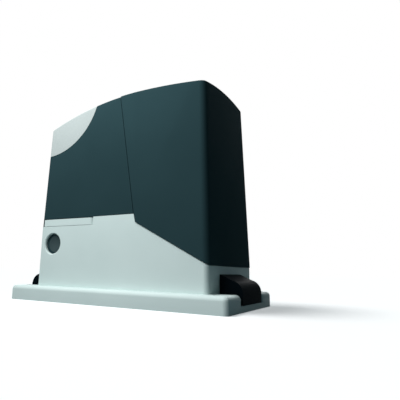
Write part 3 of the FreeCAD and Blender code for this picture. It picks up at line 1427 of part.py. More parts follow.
def control_tray(back, high):
    """The upright plate behind the board, on a foot and a tail that lie on the tray posts."""
    left = board_left
    inset = size.tray_inset
    level = size.tray_level
    level_z = (level, level + size.tray_thickness)
    foot_back = size.tray_foot_back
    front = back - size.standoff
    upright_plate = block("TrayPlate", (left, board_right), (back, back + size.tray_thickness),
                          (level + 0.5, high + 4))
    foot = block("TrayFoot", (left + inset, tray_foot_end), (back, foot_back), level_z)
    tail = block("TrayTail", (left + inset, tray_tail_end), (foot_back - 1, size.tray_tail_back),
                 level_z)
    gusset_inset = size.gusset_inset
    gussets = [block("TrayGusset", (x, x + 3), (back + 1, foot_back - 2),
                     (level + 1, level + size.gusset_side))
               for x in (left + gusset_inset, tray_foot_end - gusset_inset)]
    studs = [rod("BoardStandoff", "y", (x, front, z), 3, size.standoff + 1)
             for x, z in board_corners()]
    node("board_tray", fuse("Tray", upright_plate, foot, tail, *gussets, *studs))


def terminals(face):
    """A row of screw terminals along the board's lower edge, each with mouths for its wires."""
    low = size.board_bottom + 2
    blocks = []
    for order in range(int(size.terminal_count.number)):
        x = board_left + 10 + order * size.terminal_pitch
        body = block("TerminalBlock", (x, x + size.terminal_width),
                     (face - size.terminal_depth, face), (low, low + size.terminal_height))
        mouths = [rod("TerminalMouth", "y",
                      (x + 3 + 4.3 * way, face - size.terminal_depth - 1,
                       low + size.terminal_height / 2), 1.5, 8)
                  for way in range(int(size.terminal_ways.number))]
        blocks.append(cut("TerminalCut", body, *mouths))
    return fuse("Terminals", *blocks)


def control_electronics():
    front = -size.board_front
    low = size.board_bottom
    high = low + size.board_height
    control_tray(front + size.standoff, high)
    thickness = size.board_thickness
    board = block("BoardPlate", (board_left, board_right), (front - thickness, front), (low, high))
    holes = [rod("BoardHole", "y", (x, front - thickness - 1, z), size.board_screw_radius + 0.2,
                 thickness + 2)
             for x, z in board_corners()]
    node("control_board", cut("Board", board, *holes))
    face = front - thickness
    node("terminal_blocks", terminals(face))
    relay_x = board_left + 16
    relays = [block("Relay", (x, x + size.relay_width), (face - size.relay_depth, face),
                    (low + 30, low + 30 + size.relay_height))
              for x in (relay_x, relay_x + size.relay_pitch)]
    node("relays", fuse("RelayPair", *relays))
    node("capacitor", rod("CapacitorCan", "y",
                          (board_right - 16, face - size.capacitor_height, low + 40),
                          size.capacitor_radius, size.capacitor_height))
    radio = block("RadioPlate", (board_left + 12, board_left + 52), (face - 12, face),
                  (high - 26, high - 24))
    radio_can = block("RadioCan", (board_left + 18, board_left + 40), (face - 11, face - 2),
                      (high - 24.2, high - 19))
    node("radio_module", fuse("Radio", radio, radio_can))
    screws = [fuse("BoardScrew", rod("BoardScrewHead", "y", (x, face - 2, z), 3, 2),
                   rod("BoardScrewShank", "y", (x, face - 0.5, z), size.board_screw_radius,
                       thickness + 0.5))
              for x, z in board_corners()]
    node("board_screws", fuse("BoardScrews", *screws))


def board_corners():
    low = size.board_bottom
    corner = size.board_corner
    xs = (board_left + corner, board_right - corner)
    zs = (low + size.board_low_screw, low + size.board_height - corner)
    return [(x, z) for x in xs for z in zs]


def transformer():
    middle = (transformer_x, size.transformer_y)
    outer = transformer_radius
    inner = size.transformer_hole
    high = size.transformer_height
    bend = (outer - inner) / 3
    nip = bend * (1 - math.sqrt(0.5))
    node("transformer", turned("Toroid", "z", (*middle, size.floor_thickness), [
        (inner + bend, 0), (outer - bend, 0), ("via", outer - nip, nip),
        (outer, bend), (outer, high - bend), ("via", outer - nip, high - nip),
        (outer - bend, high), (inner + bend, high), ("via", inner + nip, high - nip),
        (inner, high - bend), (inner, bend), ("via", inner + nip, nip)]))
    top = size.floor_thickness + high
    clamp_hole = size.transformer_bolt + 0.2
    clamp_radius = outer - size.clamp_inset
    node("transformer_clamp", turned("Clamp", "z", (*middle, top), [
        (clamp_hole, 0), (clamp_radius, 0), (clamp_radius, size.clamp_thickness),
        (clamp_hole, size.clamp_thickness)]))
    bolt_low = size.floor_thickness - 2.5
    shank = rod("TransformerBoltShank", "z", (*middle, bolt_low), size.transformer_bolt,
                top + size.clamp_thickness - bolt_low + 0.5)
    head = doc.addObject("Part::Prism", "TransformerBoltHead")
    head.Polygon = 6
    bind(head, "Circumradius", 5.8)
    bind(head, "Height", 4)
    place(head, *middle, top + size.clamp_thickness)
    node("transformer_bolt", fuse("TransformerBolt", shank, head))


def small_fasteners():
    screws = []
    for x_side in (-1, 1):
        for y_side in (-1, 1):
            x = x_side * (base_half - size.levelling_inset)
            y = y_side * (size.base_depth / 2 - size.levelling_inset)
            shank = rod("LevellingShank", "z", (x, y, size.levelling_lift),
                        size.levelling_radius - size.bearing_fit,
                        size.base_thickness - 2 * size.levelling_lift)
            slot = block("LevellingSlot", (x - 6, x + 6), (y - 0.8, y + 0.8),
                         (size.base_thickness - 3, size.base_thickness + 1))
            screws.append(cut("LevellingScrew", shank, slot))
    node("levelling_screws", fuse("LevellingScrews", *screws))
    lid_front = size.case_front - size.case_lid
    lid_screws = []
    for x, y, z in lid_screw_places(lid_front):
        head = rod("LidScrewHead", "y", (x, y - 4, z), 4, 4)
        shank = rod("LidScrewShank", "y", (x, y - 0.5, z), small_screw_hole, size.case_lid + 0.5)
        lid_screws.append(fuse("LidScrew", head, shank))
    node("gearcase_screws", fuse("LidScrews", *lid_screws))


def build():
    base_casting()
    gearcase_cover()
    worm_wheel()
    output_shaft()
    output_bearings()
    drive_pinion()
    release_clutch()
    worm_shaft()
    motor()
    release_lever()
    release_cam()
    lock()
    covers()
    cover_screws()
    limit_switch()
    control_electronics()
    transformer()
    small_fasteners()
    end_cap("end_cap_right", 1, size.right_cap_middle)
    end_cap("end_cap_left", -1, size.left_cap_middle)
    doc.recompute()


def check_and_write():
    faults = [item.Label for item in doc.Objects
              if "Invalid" in item.State or "Error" in item.State]
    for item in nodes:
        if item.Shape.isNull() or not item.Shape.isValid() or item.Shape.Volume <= 0:
            faults.append(item.Label)
    if faults:
        raise RuntimeError("these failed: " + ", ".join(sorted(set(faults))))
    os.makedirs("parts", exist_ok=True)
    for item in nodes:
        item.Shape.exportStep(f"parts/{item.Label}.step")
    print(len(nodes), "pieces written")


build()
check_and_write()
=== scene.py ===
import json
import math

import bmesh
import bpy
import numpy as np
from mathutils import Matrix, Vector


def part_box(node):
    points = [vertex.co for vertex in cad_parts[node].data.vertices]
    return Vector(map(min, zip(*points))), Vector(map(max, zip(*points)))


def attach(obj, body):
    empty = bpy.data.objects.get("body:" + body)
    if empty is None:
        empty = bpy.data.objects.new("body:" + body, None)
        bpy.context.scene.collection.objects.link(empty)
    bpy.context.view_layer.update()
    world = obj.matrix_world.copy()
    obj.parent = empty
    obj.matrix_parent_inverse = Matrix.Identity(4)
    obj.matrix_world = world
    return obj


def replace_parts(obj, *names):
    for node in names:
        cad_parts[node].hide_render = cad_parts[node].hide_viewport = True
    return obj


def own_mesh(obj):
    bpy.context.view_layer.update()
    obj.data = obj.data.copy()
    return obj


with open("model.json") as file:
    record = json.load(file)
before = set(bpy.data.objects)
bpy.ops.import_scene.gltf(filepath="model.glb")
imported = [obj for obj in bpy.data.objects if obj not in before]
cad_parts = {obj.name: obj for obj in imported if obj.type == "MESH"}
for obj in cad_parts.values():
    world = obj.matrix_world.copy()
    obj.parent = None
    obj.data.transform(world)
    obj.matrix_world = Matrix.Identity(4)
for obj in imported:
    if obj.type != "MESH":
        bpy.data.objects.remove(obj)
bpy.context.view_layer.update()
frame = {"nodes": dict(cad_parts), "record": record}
print("frame loaded:", len(frame["nodes"]), "nodes")


# materials

def linear(red, green, blue):
    # a colour as it is seen on a screen, 0 to 255, turned into the light values that shaders take
    parts = []
    for part in (red, green, blue):
        part = part / 255
        parts.append(part / 12.92 if part <= 0.04045 else ((part + 0.055) / 1.055) ** 2.4)
    return (*parts, 1.0)


class Finish:
    # one material, its node tree and its shader, with the few nodes that most finishes share; the
    # plain colour is for viewers that don't run the nodes, and varied() gives the one that is seen

    def __init__(self, name, colour, roughness, metallic=0.0, ior=1.45):
        self.material = bpy.data.materials.new(name)
        self.material.use_nodes = True
        self.tree = self.material.node_tree
        self.shader = self.tree.nodes["Principled BSDF"]
        self.shader.inputs["Base Color"].default_value = colour
        self.shader.inputs["Roughness"].default_value = roughness
        self.shader.inputs["Metallic"].default_value = metallic
        self.shader.inputs["IOR"].default_value = ior
        self.place = self.add("ShaderNodeTexCoord").outputs["Object"]
        self.normal = None

    def add(self, kind, **values):
        node = self.tree.nodes.new(kind)
        for name, value in values.items():
            if name in node.inputs:
                node.inputs[name].default_value = value
            else:
                setattr(node, name, value)
        return node

    def link(self, source, target):
        self.tree.links.new(source, target)

    def stretched(self, scale):
        mapping = self.add("ShaderNodeMapping", Scale=scale)
        self.link(self.place, mapping.inputs["Vector"])
        return mapping.outputs["Vector"]

    def noise(self, scale, detail, rough=0.55, where=None):
        node = self.add("ShaderNodeTexNoise", Scale=scale, Detail=detail, Roughness=rough)
        self.link(where or self.place, node.inputs["Vector"])
        return node.outputs["Fac"]

    def varied(self, value, *colours):
        ramp = self.add("ShaderNodeValToRGB")
        while len(ramp.color_ramp.elements) < len(colours):
            ramp.color_ramp.elements.new(0.5)
        for element, (stop, colour) in zip(ramp.color_ramp.elements, colours):
            element.position = stop
            element.color = colour
        self.link(value, ramp.inputs["Fac"])
        self.link(ramp.outputs["Color"], self.shader.inputs["Base Color"])

    def uneven(self, value, low, high):
        # noise seldom leaves 0.3 to 0.7, so that stretch takes the whole range of roughness
        spread = self.add("ShaderNodeMapRange", **{
            "From Min": 0.3, "From Max": 0.7, "To Min": low, "To Max": high})
        self.link(value, spread.inputs["Value"])
        self.link(spread.outputs["Result"], self.shader.inputs["Roughness"])

    def bumpy(self, value, depth):
        # a second call adds its bumps to those of the first
        bump = self.add("ShaderNodeBump", Strength=1.0, Distance=depth)
        self.link(value, bump.inputs["Height"])
        if self.normal:
            self.link(self.normal, bump.inputs["Normal"])
        self.normal = bump.outputs["Normal"]
        self.link(self.normal, self.shader.inputs["Normal"])


def castPaint():
    # pale grey-green paint with fine metal flake over a die-cast wall
    look = Finish("castPaint", linear(197, 212, 210), 0.5, 0.0, 1.08)
    flake = look.noise(2600, 2)
    cloud = look.noise(9, 3)
    look.varied(cloud, (0.3, linear(193, 209, 207)), (0.7, linear(200, 215, 213)))
    look.uneven(flake, 0.40, 0.54)
    look.bumpy(look.noise(900, 3), 0.00006)
    look.bumpy(flake, 0.00002)
    return look.material


def coverPlastic():
    # dark blue-grey moulded plastic with a fine spark-eroded grain
    look = Finish("coverPlastic", linear(38, 58, 62), 0.56, 0.0, 1.02)
    grain = look.noise(1500, 3)
    cloud = look.noise(7, 3)
    look.varied(cloud, (0.3, linear(36, 56, 60)), (0.7, linear(40, 61, 65)))
    look.uneven(grain, 0.50, 0.68)
    look.bumpy(grain, 0.00007)
    return look.material


def panelPlastic():
    # pale satin plastic
    look = Finish("panelPlastic", linear(162, 171, 170), 0.38, 0.0, 1.08)
    cloud = look.noise(12, 3)
    look.varied(cloud, (0.3, linear(159, 168, 167)), (0.7, linear(165, 174, 173)))
    look.uneven(look.noise(300, 3), 0.34, 0.44)
    look.bumpy(look.noise(1200, 2), 0.00002)
    return look.material


def blackOxide():
    look = Finish("blackOxide", linear(38, 40, 42), 0.42, 0.8)
    film = look.noise(500, 3)
    look.varied(film, (0.3, linear(32, 34, 36)), (0.7, linear(46, 48, 50)))
    look.uneven(film, 0.36, 0.5)
    look.bumpy(film, 0.00001)
    return look.material


def blackPlastic():
    look = Finish("blackPlastic", linear(6, 13, 17), 0.6, 0.0, 1.02)
    grain = look.noise(1100, 3)
    look.varied(look.noise(20, 3), (0.3, linear(4, 10, 14)), (0.7, linear(8, 16, 20)))
    look.uneven(grain, 0.42, 0.60)
    look.bumpy(grain, 0.00006)
    return look.material


def lockPlastic():
    look = Finish("lockPlastic", linear(58, 73, 76), 0.45, 0.0, 1.05)
    grain = look.noise(1400, 3)
    look.varied(look.noise(60, 3), (0.3, linear(55, 69, 71)), (0.7, linear(62, 76, 78)))
    look.uneven(grain, 0.38, 0.52)
    look.bumpy(grain, 0.00005)
    return look.material


def turnedSteel():
    look = Finish("turnedSteel", linear(172, 174, 178), 0.3, 1.0)
    marks = look.noise(400, 3, where=look.stretched((1, 9, 1)))
    look.varied(marks, (0.3, linear(158, 160, 165)), (0.7, linear(182, 184, 187)))
    look.uneven(marks, 0.24, 0.4)
    look.bumpy(marks, 0.00002)
    return look.material


def zincSteel():
    look = Finish("zincSteel", linear(190, 192, 190), 0.34, 1.0)
    spangle = look.noise(220, 3, 0.5)
    look.varied(spangle, (0.3, linear(184, 187, 188)), (0.7, linear(196, 197, 194)))
    look.uneven(spangle, 0.32, 0.40)
    look.bumpy(look.noise(900, 2), 0.00001)
    return look.material


def bronze():
    look = Finish("bronze", linear(196, 150, 84), 0.36, 1.0)
    marks = look.noise(500, 3)
    look.varied(marks, (0.3, linear(178, 132, 70)), (0.7, linear(208, 164, 98)))
    look.uneven(marks, 0.28, 0.46)
    look.bumpy(marks, 0.00002)
    return look.material


def castAluminium():
    look = Finish("castAluminium", linear(176, 178, 180), 0.48, 1.0)
    skin = look.noise(700, 4, 0.7)
    look.varied(skin, (0.3, linear(160, 162, 165)), (0.7, linear(190, 192, 193)))
    look.uneven(skin, 0.42, 0.6)
    look.bumpy(skin, 0.00008)
    return look.material


def copperBars():
    look = Finish("copperBars", linear(196, 120, 84), 0.34, 1.0)
    film = look.noise(260, 4)
    look.varied(film, (0.3, linear(164, 92, 62)), (0.7, linear(210, 136, 98)))
    look.uneven(film, 0.26, 0.44)
    look.bumpy(film, 0.00001)
    return look.material


def sealRubber():
    look = Finish("sealRubber", linear(30, 31, 32), 0.72, 0.0, 1.3)
    bloom = look.noise(300, 4)
    look.varied(bloom, (0.3, linear(26, 27, 28)), (0.7, linear(38, 39, 40)))
    look.uneven(bloom, 0.64, 0.8)
    look.bumpy(look.noise(1200, 2), 0.00004)
    return look.material


def boardMask():
    # solder mask, with copper tracks that show through as paler, slightly raised lines
    look = Finish("boardMask", linear(22, 92, 56), 0.3)
    cells = look.add("ShaderNodeTexVoronoi", Scale=190.0, distance="CHEBYCHEV")
    look.link(look.place, cells.inputs["Vector"])
    look.varied(cells.outputs["Distance"], (0.38, linear(18, 84, 50)), (0.5, linear(44, 120, 74)))
    look.uneven(look.noise(500, 3), 0.24, 0.38)
    look.bumpy(cells.outputs["Distance"], 0.00003)
    return look.material


def terminalPlastic():
    look = Finish("terminalPlastic", linear(60, 140, 84), 0.42)
    grain = look.noise(900, 3)
    look.varied(look.noise(50, 3), (0.3, linear(54, 132, 78)), (0.7, linear(68, 150, 92)))
    look.uneven(grain, 0.36, 0.5)
    look.bumpy(grain, 0.00003)
    return look.material


def partPlastic():
    look = Finish("partPlastic", linear(40, 41, 44), 0.4)
    grain = look.noise(800, 3)
    look.varied(look.noise(60, 3), (0.3, linear(34, 35, 38)), (0.7, linear(48, 49, 52)))
    look.uneven(grain, 0.32, 0.5)
    look.bumpy(grain, 0.00003)
    return look.material


def windingTape():
    # yellow tape wound round the ring, its laps seen as fine steps
    look = Finish("windingTape", linear(206, 178, 72), 0.34)
    laps = look.add("ShaderNodeTexWave", Scale=60.0, Distortion=1.2, bands_direction="Z")
    look.link(look.place, laps.inputs["Vector"])
    look.varied(laps.outputs["Fac"], (0.2, linear(190, 160, 58)), (0.8, linear(216, 190, 86)))
    look.uneven(look.noise(300, 3), 0.28, 0.44)
    look.bumpy(laps.outputs["Fac"], 0.00008)
    return look.material


def graphite():
    look = Finish("graphite", linear(58, 58, 60), 0.5, 0.3)
    grain = look.noise(1200, 4)
    look.varied(grain, (0.3, linear(48, 48, 50)), (0.7, linear(72, 72, 74)))
    look.uneven(grain, 0.42, 0.6)
    look.bumpy(grain, 0.00003)
    return look.material


def coreSheets():
    # stacked core sheets, seen as fine level lines
    look = Finish("coreSheets", linear(112, 112, 114), 0.45, 0.9)
    lines = look.add("ShaderNodeTexWave", Scale=320.0, Distortion=0.4, bands_direction="Z")
    look.link(look.place, lines.inputs["Vector"])
    look.varied(lines.outputs["Fac"], (0.2, linear(92, 92, 95)), (0.8, linear(130, 130, 131)))
    look.uneven(look.noise(500, 3), 0.36, 0.56)
    look.bumpy(lines.outputs["Fac"], 0.00005)
    return look.material


finishes = {
    "cast_paint": castPaint, "cover_plastic": coverPlastic, "panel_plastic": panelPlastic,
    "cap_plastic": blackPlastic, "steel": turnedSteel, "zinc_steel": zincSteel,
    "bronze": bronze, "aluminium": castAluminium, "copper": copperBars,
    "black_rubber": sealRubber, "board_green": boardMask, "terminal_green": terminalPlastic,
    "relay_black": partPlastic, "tape_yellow": windingTape, "graphite": graphite,
    "laminations": coreSheets, "lock_plastic": lockPlastic, "ferrite": graphite,
    "lever_paint": castPaint, "black_steel": blackOxide,
}
made = {}
for part in frame["record"]["subparts"]:
    slotName = part["material_slot"]
    maker = finishes[slotName]
    if maker not in made:
        made[maker] = maker()
    for materialSlot in frame["nodes"][part["node"]].material_slots:
        materialSlot.material = made[maker]
print("finishes made:", len(made))


# curved faces of the solids read as smooth, and their edges stay sharp

shading = {"samePlace": 0.000002, "sharpAngle": 28}


def shadingTree(values):
    tree = bpy.data.node_groups.new("smoothCurves", "GeometryNodeTree")
    tree.interface.new_socket("Geometry", in_out="INPUT", socket_type="NodeSocketGeometry")
    tree.interface.new_socket("Geometry", in_out="OUTPUT", socket_type="NodeSocketGeometry")
    start = tree.nodes.new("NodeGroupInput")
    end = tree.nodes.new("NodeGroupOutput")
    merge = tree.nodes.new("GeometryNodeMergeByDistance")
    merge.inputs["Distance"].default_value = values["samePlace"]
    faces = tree.nodes.new("GeometryNodeSetShadeSmooth")
    edges = tree.nodes.new("GeometryNodeSetShadeSmooth")
    edges.domain = "EDGE"
    turn = tree.nodes.new("GeometryNodeInputMeshEdgeAngle")
    under = tree.nodes.new("FunctionNodeCompare")
    under.operation = "LESS_THAN"
    under.inputs["B"].default_value = math.radians(values["sharpAngle"])
    tree.links.new(start.outputs[0], merge.inputs["Geometry"])
    tree.links.new(merge.outputs["Geometry"], faces.inputs["Geometry"])
    tree.links.new(faces.outputs["Geometry"], edges.inputs["Geometry"])
    tree.links.new(turn.outputs["Unsigned Angle"], under.inputs["A"])
    tree.links.new(under.outputs["Result"], edges.inputs["Shade Smooth"])
    tree.links.new(edges.outputs["Geometry"], end.inputs[0])
    return tree


smoothCurves = shadingTree(shading)
for solid in frame["nodes"].values():
    solid.modifiers.new("smoothCurves", "NODES").node_group = smoothCurves
print("curved faces smoothed")


# shapes that the small pieces share: sizes are in millimetres, and places in metres; a crossed
# bar's width is a share of its length, and a thread's depth a share of its pitch

mm = 0.001
samePoint = 0.0000005
crossWidth = 0.28
threadForm = {"depth": 0.55, "rowsInPitch": 6, "bareEnd": 0.8}


def gridPiece(name, points, body, slotName, ends=True):
    # points is an array (copies, rows, columns, 3): each row closes into a ring, and where ends is
    # set the first and last row of each copy are points or flat faces, otherwise they join up
    copies, rows, columns = points.shape[:3]
    index = np.arange(copies * rows * columns).reshape(copies, rows, columns)
    if not ends:
        index = np.concatenate([index, index[:, :1]], axis=1)
    beside = np.roll(index, -1, axis=2)
    quads = np.stack([index[:, :-1], beside[:, :-1], beside[:, 1:], index[:, 1:]], -1)
    faces = quads.reshape(-1, 4).tolist()
    if ends:
        faces += index[:, 0, ::-1].tolist() + index[:, -1].tolist()
    mesh = bpy.data.meshes.new(name)
    mesh.from_pydata(points.reshape(-1, 3).tolist(), [], faces)
    shell = bmesh.new()
    shell.from_mesh(mesh)
    bmesh.ops.remove_doubles(shell, verts=shell.verts, dist=samePoint)
    bmesh.ops.dissolve_degenerate(shell, edges=shell.edges, dist=samePoint)
    bmesh.ops.recalc_face_normals(shell, faces=shell.faces)
    shell.to_mesh(mesh)
    shell.free()
    mesh.materials.append(made[finishes[slotName]])
    piece = bpy.data.objects.new(name, mesh)
    bpy.context.collection.objects.link(piece)
    piece.modifiers.new("smoothCurves", "NODES").node_group = smoothCurves
    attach(piece, body)
    return piece


def hexagon(angle):
    # how far a hexagon's side is from its middle, in half widths across flats
    sixth = math.pi / 3
    return 1 / np.cos(np.mod(angle, sixth) - sixth / 2)


def cross(angle):
    # how far the edge of two crossed bars is from their middle, in half lengths of a bar; the least
    # value keeps the divisors above nought
    least = 0.001
    level = np.maximum(np.abs(np.cos(angle)), least)
    steep = np.maximum(np.abs(np.sin(angle)), least)
    return np.maximum(np.minimum(1 / level, crossWidth / steep),
                      np.minimum(1 / steep, crossWidth / level))


def square(angle):
    # a square with rounded corners: the eighth powers of its two coordinates add up to 1
    return (np.abs(np.cos(angle)) ** 8 + np.abs(np.sin(angle)) ** 8) ** (-1 / 8)


outlines = {"round": np.ones_like, "hexagon": hexagon, "cross": cross, "square": square}


def roundRows(*pairs):
    return [(distance, radius, "round") for distance, radius in pairs]


def turnedPoints(profile, places, axis, columns=48, reach=None):
    # each row of the profile is (distance, radius, outline): a point is its place, plus the
    # distance along the axis, plus the radius times the outline times the cosine and sine of the
    # column's angle along the two sides; reach keeps the outline's corners within a circle
    sign = -1.0 if axis.startswith("-") else 1.0
    along = sign * np.eye(3)["xyz".index(axis[-1])]
    side = np.roll(np.abs(along), 1)
    up = np.cross(along, side)
    angle = np.linspace(0, 2 * math.pi, columns, endpoint=False)
    rows = []
    for distance, radius, outline in profile:
        if callable(outline):
            spread = radius + outline(distance, angle)
        else:
            spread = radius * outlines[outline](angle)
        if reach is not None:
            spread = np.minimum(spread, reach(distance))
        ring = spread[:, None] * (np.cos(angle)[:, None] * side + np.sin(angle)[:, None] * up)
        rows.append(ring + distance * along)
    places = np.atleast_2d(np.asarray(places, float))
    return places[:, None, None, :] + mm * np.array(rows)[None]


def threadRows(start, length, shank, pitch, tip):
    # the ridge of a screw thread: the radius falls by the depth halfway between two ridges, and
    # the ridge moves one pitch along for each turn; the screw's end is bare and narrows by the tip
    depth = threadForm["depth"] * pitch
    end = length - threadForm["bareEnd"]

    def ridge(distance, angle):
        turn = distance / pitch - angle / (2 * math.pi)
        return -depth * (1 - np.abs(2 * (turn - np.floor(turn)) - 1))

    rows = [(distance, shank, ridge)
            for distance in np.arange(start, end, pitch / threadForm["rowsInPitch"])]
    return rows + roundRows((end, shank - depth), (length, shank - depth - tip), (length, 0))


def solidBoxes(name):
    # the corners of the box round each separate solid of a node: points whose places round to the
    # same hundredth of a millimetre share a number, and each triangle hands the lowest number of
    # its corners on until nothing changes
    mesh = frame["nodes"][name].data
    places = np.empty(len(mesh.vertices) * 3)
    mesh.vertices.foreach_get("co", places)
    places = places.reshape(-1, 3)
    corners = np.empty(len(mesh.loops), int)
    mesh.loops.foreach_get("vertex_index", corners)
    hundredths = np.round(places * 100000).astype(int)
    same = np.unique(hundredths, axis=0, return_inverse=True)[1].ravel()
    faces = same[corners].reshape(-1, 3)
    group = np.arange(same.max() + 1)
    settled = False
    while not settled:
        lowest = group[faces].min(1)
        fresh = group.copy()
        for corner in range(3):
            np.minimum.at(fresh, faces[:, corner], lowest)
        settled = bool((fresh == group).all())
        group = fresh
    owner = group[same]
    return [(places[owner == one].min(0), places[owner == one].max(0)) for one in np.unique(owner)]


def roundBlocks(places, sizes, sharp=0.14, rows=12, columns=32):
    # blocks with softened edges, all in millimetres: latitude runs with the rows and longitude with
    # the columns, and each cosine and sine is raised to a small power, which flattens the sides
    places = np.atleast_2d(np.asarray(places, float))
    sizes = np.broadcast_to(np.asarray(sizes, float), places.shape)
    latitude = np.linspace(-math.pi / 2, math.pi / 2, rows)[:, None]
    longitude = (np.arange(columns) + 0.5)[None, :] * 2 * math.pi / columns

    def flat(value):
        return np.sign(value) * np.abs(value) ** sharp

    unit = np.stack([flat(np.cos(latitude)) * flat(np.cos(longitude)),
                     flat(np.cos(latitude)) * flat(np.sin(longitude)),
                     flat(np.sin(latitude)) * np.ones_like(longitude)], -1)
    unit[0, :, :2] = 0
    unit[-1, :, :2] = 0
    return mm * (places[:, None, None, :] + 0.5 * sizes[:, None, None, :] * unit[None])


# the lock's shutter: a plate with a round groove in its face, and a dark ring in the groove that
# paints the shade of the deep window, widest on the left

shutter = {"half": 17.0, "soft": 0.2, "thickness": 1.2, "groove": 14.0, "deep": 0.8, "slope": 0.05,
           "disc": 11.9, "edge": 0.15, "shift": 1.7, "dish": 8.0, "dishDeep": 0.35,
           "dishCurve": ((1, 0), (0.9, 0.5), (0.5, 0.8), (0, 1)), "shadeRingThick": 0.25,
           "shadeRingGap": 0.1, "columns": 96}


def makeShutter(values):
    # the rows inside the groove are moved along x by the shift, so the groove and its dark ring of
    # painted shade are wider on the left
    low, high = (np.array(corner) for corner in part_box("lock_cover"))
    face = ((low[0] + high[0]) / 2, low[1], (low[2] + high[2]) / 2)
    half, soft, thick = values["half"], values["soft"], values["thickness"]
    disc, edge, groove = values["disc"], values["edge"], values["groove"]
    deep, slope, shift = values["deep"], values["slope"], mm * values["shift"]
    inside = [(values["dishDeep"] * depth, values["dish"] * reach, "round")
              for depth, reach in values["dishCurve"]]
    inside += roundRows((0, disc - edge), (edge, disc), (deep, disc + slope))
    outside = roundRows((deep, groove - slope), (0, groove))
    outside += [(0, half - soft, "square"), (soft, half, "square"), (thick, half, "square"),
                (thick, 0, "round")]
    points = turnedPoints(inside + outside, face, "y", values["columns"])
    points[:, :len(inside), :, 0] += shift
    plate = gridPiece("lock_shutter_plate", points, "lock_shutter", "lock_plastic")
    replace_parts(plate, "lock_cover")
    # the dark ring: painted shade in the groove
    inner, outer = disc + values["shadeRingGap"], groove - values["shadeRingGap"]
    top = deep - values["shadeRingThick"]
    ring = roundRows((deep, inner), (top, inner), (top, outer), (deep, outer))
    points = turnedPoints(ring, face, "y", values["columns"])
    points[:, :2, :, 0] += shift
    gridPiece("lock_shutter_shade_ring", points, "lock_shutter", "cover_plastic", ends=False)


makeShutter(shutter)
print("lock shutter made")


# screws with a socket or a cross in the head, measured from the head's top; way runs into the
# hole, and leftWay is for a screw in the left end wall; a head of 0 is a headless screw

screws = {
    "gearcase_screws": {"body": "base", "way": "y", "slot": "black_steel", "head": 4.0, "tall": 4.0,
                        "socket": ("hexagon", 2.2, 2.3), "shank": 2.5, "pitch": 0.8},
    "motor_screws": {"body": "base", "way": "-z", "slot": "black_steel", "head": 3.3, "tall": 3.0,
                     "socket": ("hexagon", 1.7, 1.8), "shank": 2.5, "pitch": 0.8},
    "board_screws": {"body": "base", "way": "y", "slot": "zinc_steel", "head": 3.0, "tall": 2.0,
                     "socket": ("cross", 1.9, 1.0), "shank": 1.6, "pitch": 0.6},
    "levelling_screws": {"body": "base", "way": "-z", "slot": "zinc_steel", "head": 0, "tall": 0,
                         "socket": ("hexagon", 2.5, 5.0), "shank": 4.98, "pitch": 1.5},
    "cover_screws": {"body": "cover", "way": "-y", "leftWay": "x", "slot": "black_steel",
                     "head": 5.4, "tall": 2.4, "socket": ("cross", 3.2, 1.5), "shank": 2.9,
                     "pitch": 1.0},
}
screwForm = {"cone": 0.35, "taper": 0.95, "rim": ((0, 0.5), (0.15, 0.2), (0.5, 0)),
             "chamfer": 0.8, "chamferEnd": 0.6, "lead": 0.1, "tip": 0.4}
leftWall = -0.12


def screwProfile(values, form, length):
    kind, across, deep = values["socket"]
    head, tall, shank, pitch = values["head"], values["tall"], values["shank"], values["pitch"]
    rows = [(deep + form["cone"] * across, 0, "round"), (deep, across * form["taper"], kind),
            (0, across, kind)]
    if head:
        rows += [(down, head - inside, "round") for down, inside in form["rim"]]
        rows += roundRows((tall, head), (tall, shank))
    else:
        narrow = shank - form["chamferEnd"] * threadForm["depth"] * pitch
        rows += roundRows((0, shank - form["chamfer"]), (form["chamfer"], narrow))
    return rows + threadRows(rows[-1][0] + form["lead"], length, shank, pitch, form["tip"])


def makeScrews(name, values):
    # the screws of a node that have one length are one piece
    alike = {}
    for low, high in solidBoxes(name):
        way = values["leftWay"] if "leftWay" in values and low[0] <= leftWall else values["way"]
        axis = "xyz".index(way[-1])
        place = (low + high) / 2
        place[axis] = high[axis] if way.startswith("-") else low[axis]
        profile = screwProfile(values, screwForm, (high - low)[axis] / mm)
        alike.setdefault(len(profile), []).append(turnedPoints(profile, place, way))
    for order, rows in enumerate(sorted(alike)):
        part = gridPiece(name + "_made" + "_b" * order, np.concatenate(alike[rows]),
                         values["body"], values["slot"])
        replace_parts(part, name)


for name, values in screws.items():
    makeScrews(name, values)
print("screws made")


# hexagon heads: the transformer's bolt and the pinion's bolt

hexBolts = {
    "transformer_bolt": {"body": "base", "slot": "zinc_steel", "way": "-z", "flats": 5.0,
                         "tall": 4.0, "shank": 3.0, "pitch": 1.0, "threaded": 14.0},
    "pinion_bolt": {"body": "output", "slot": "zinc_steel", "way": "-y", "flats": 6.49,
                    "tall": 4.0, "shank": 4.0, "pitch": 1.25, "threaded": 16.0},
}
hexForm = {"dishDeep": 0.3, "dish": (0.55, 0.62), "coneRows": 7, "coneStep": 0.15, "coneTall": 1,
           "coneStart": 0.94, "coneSlope": 1.8, "collar": 0.96, "collarTall": 0.3, "lead": 0.2,
           "tip": 0.3}


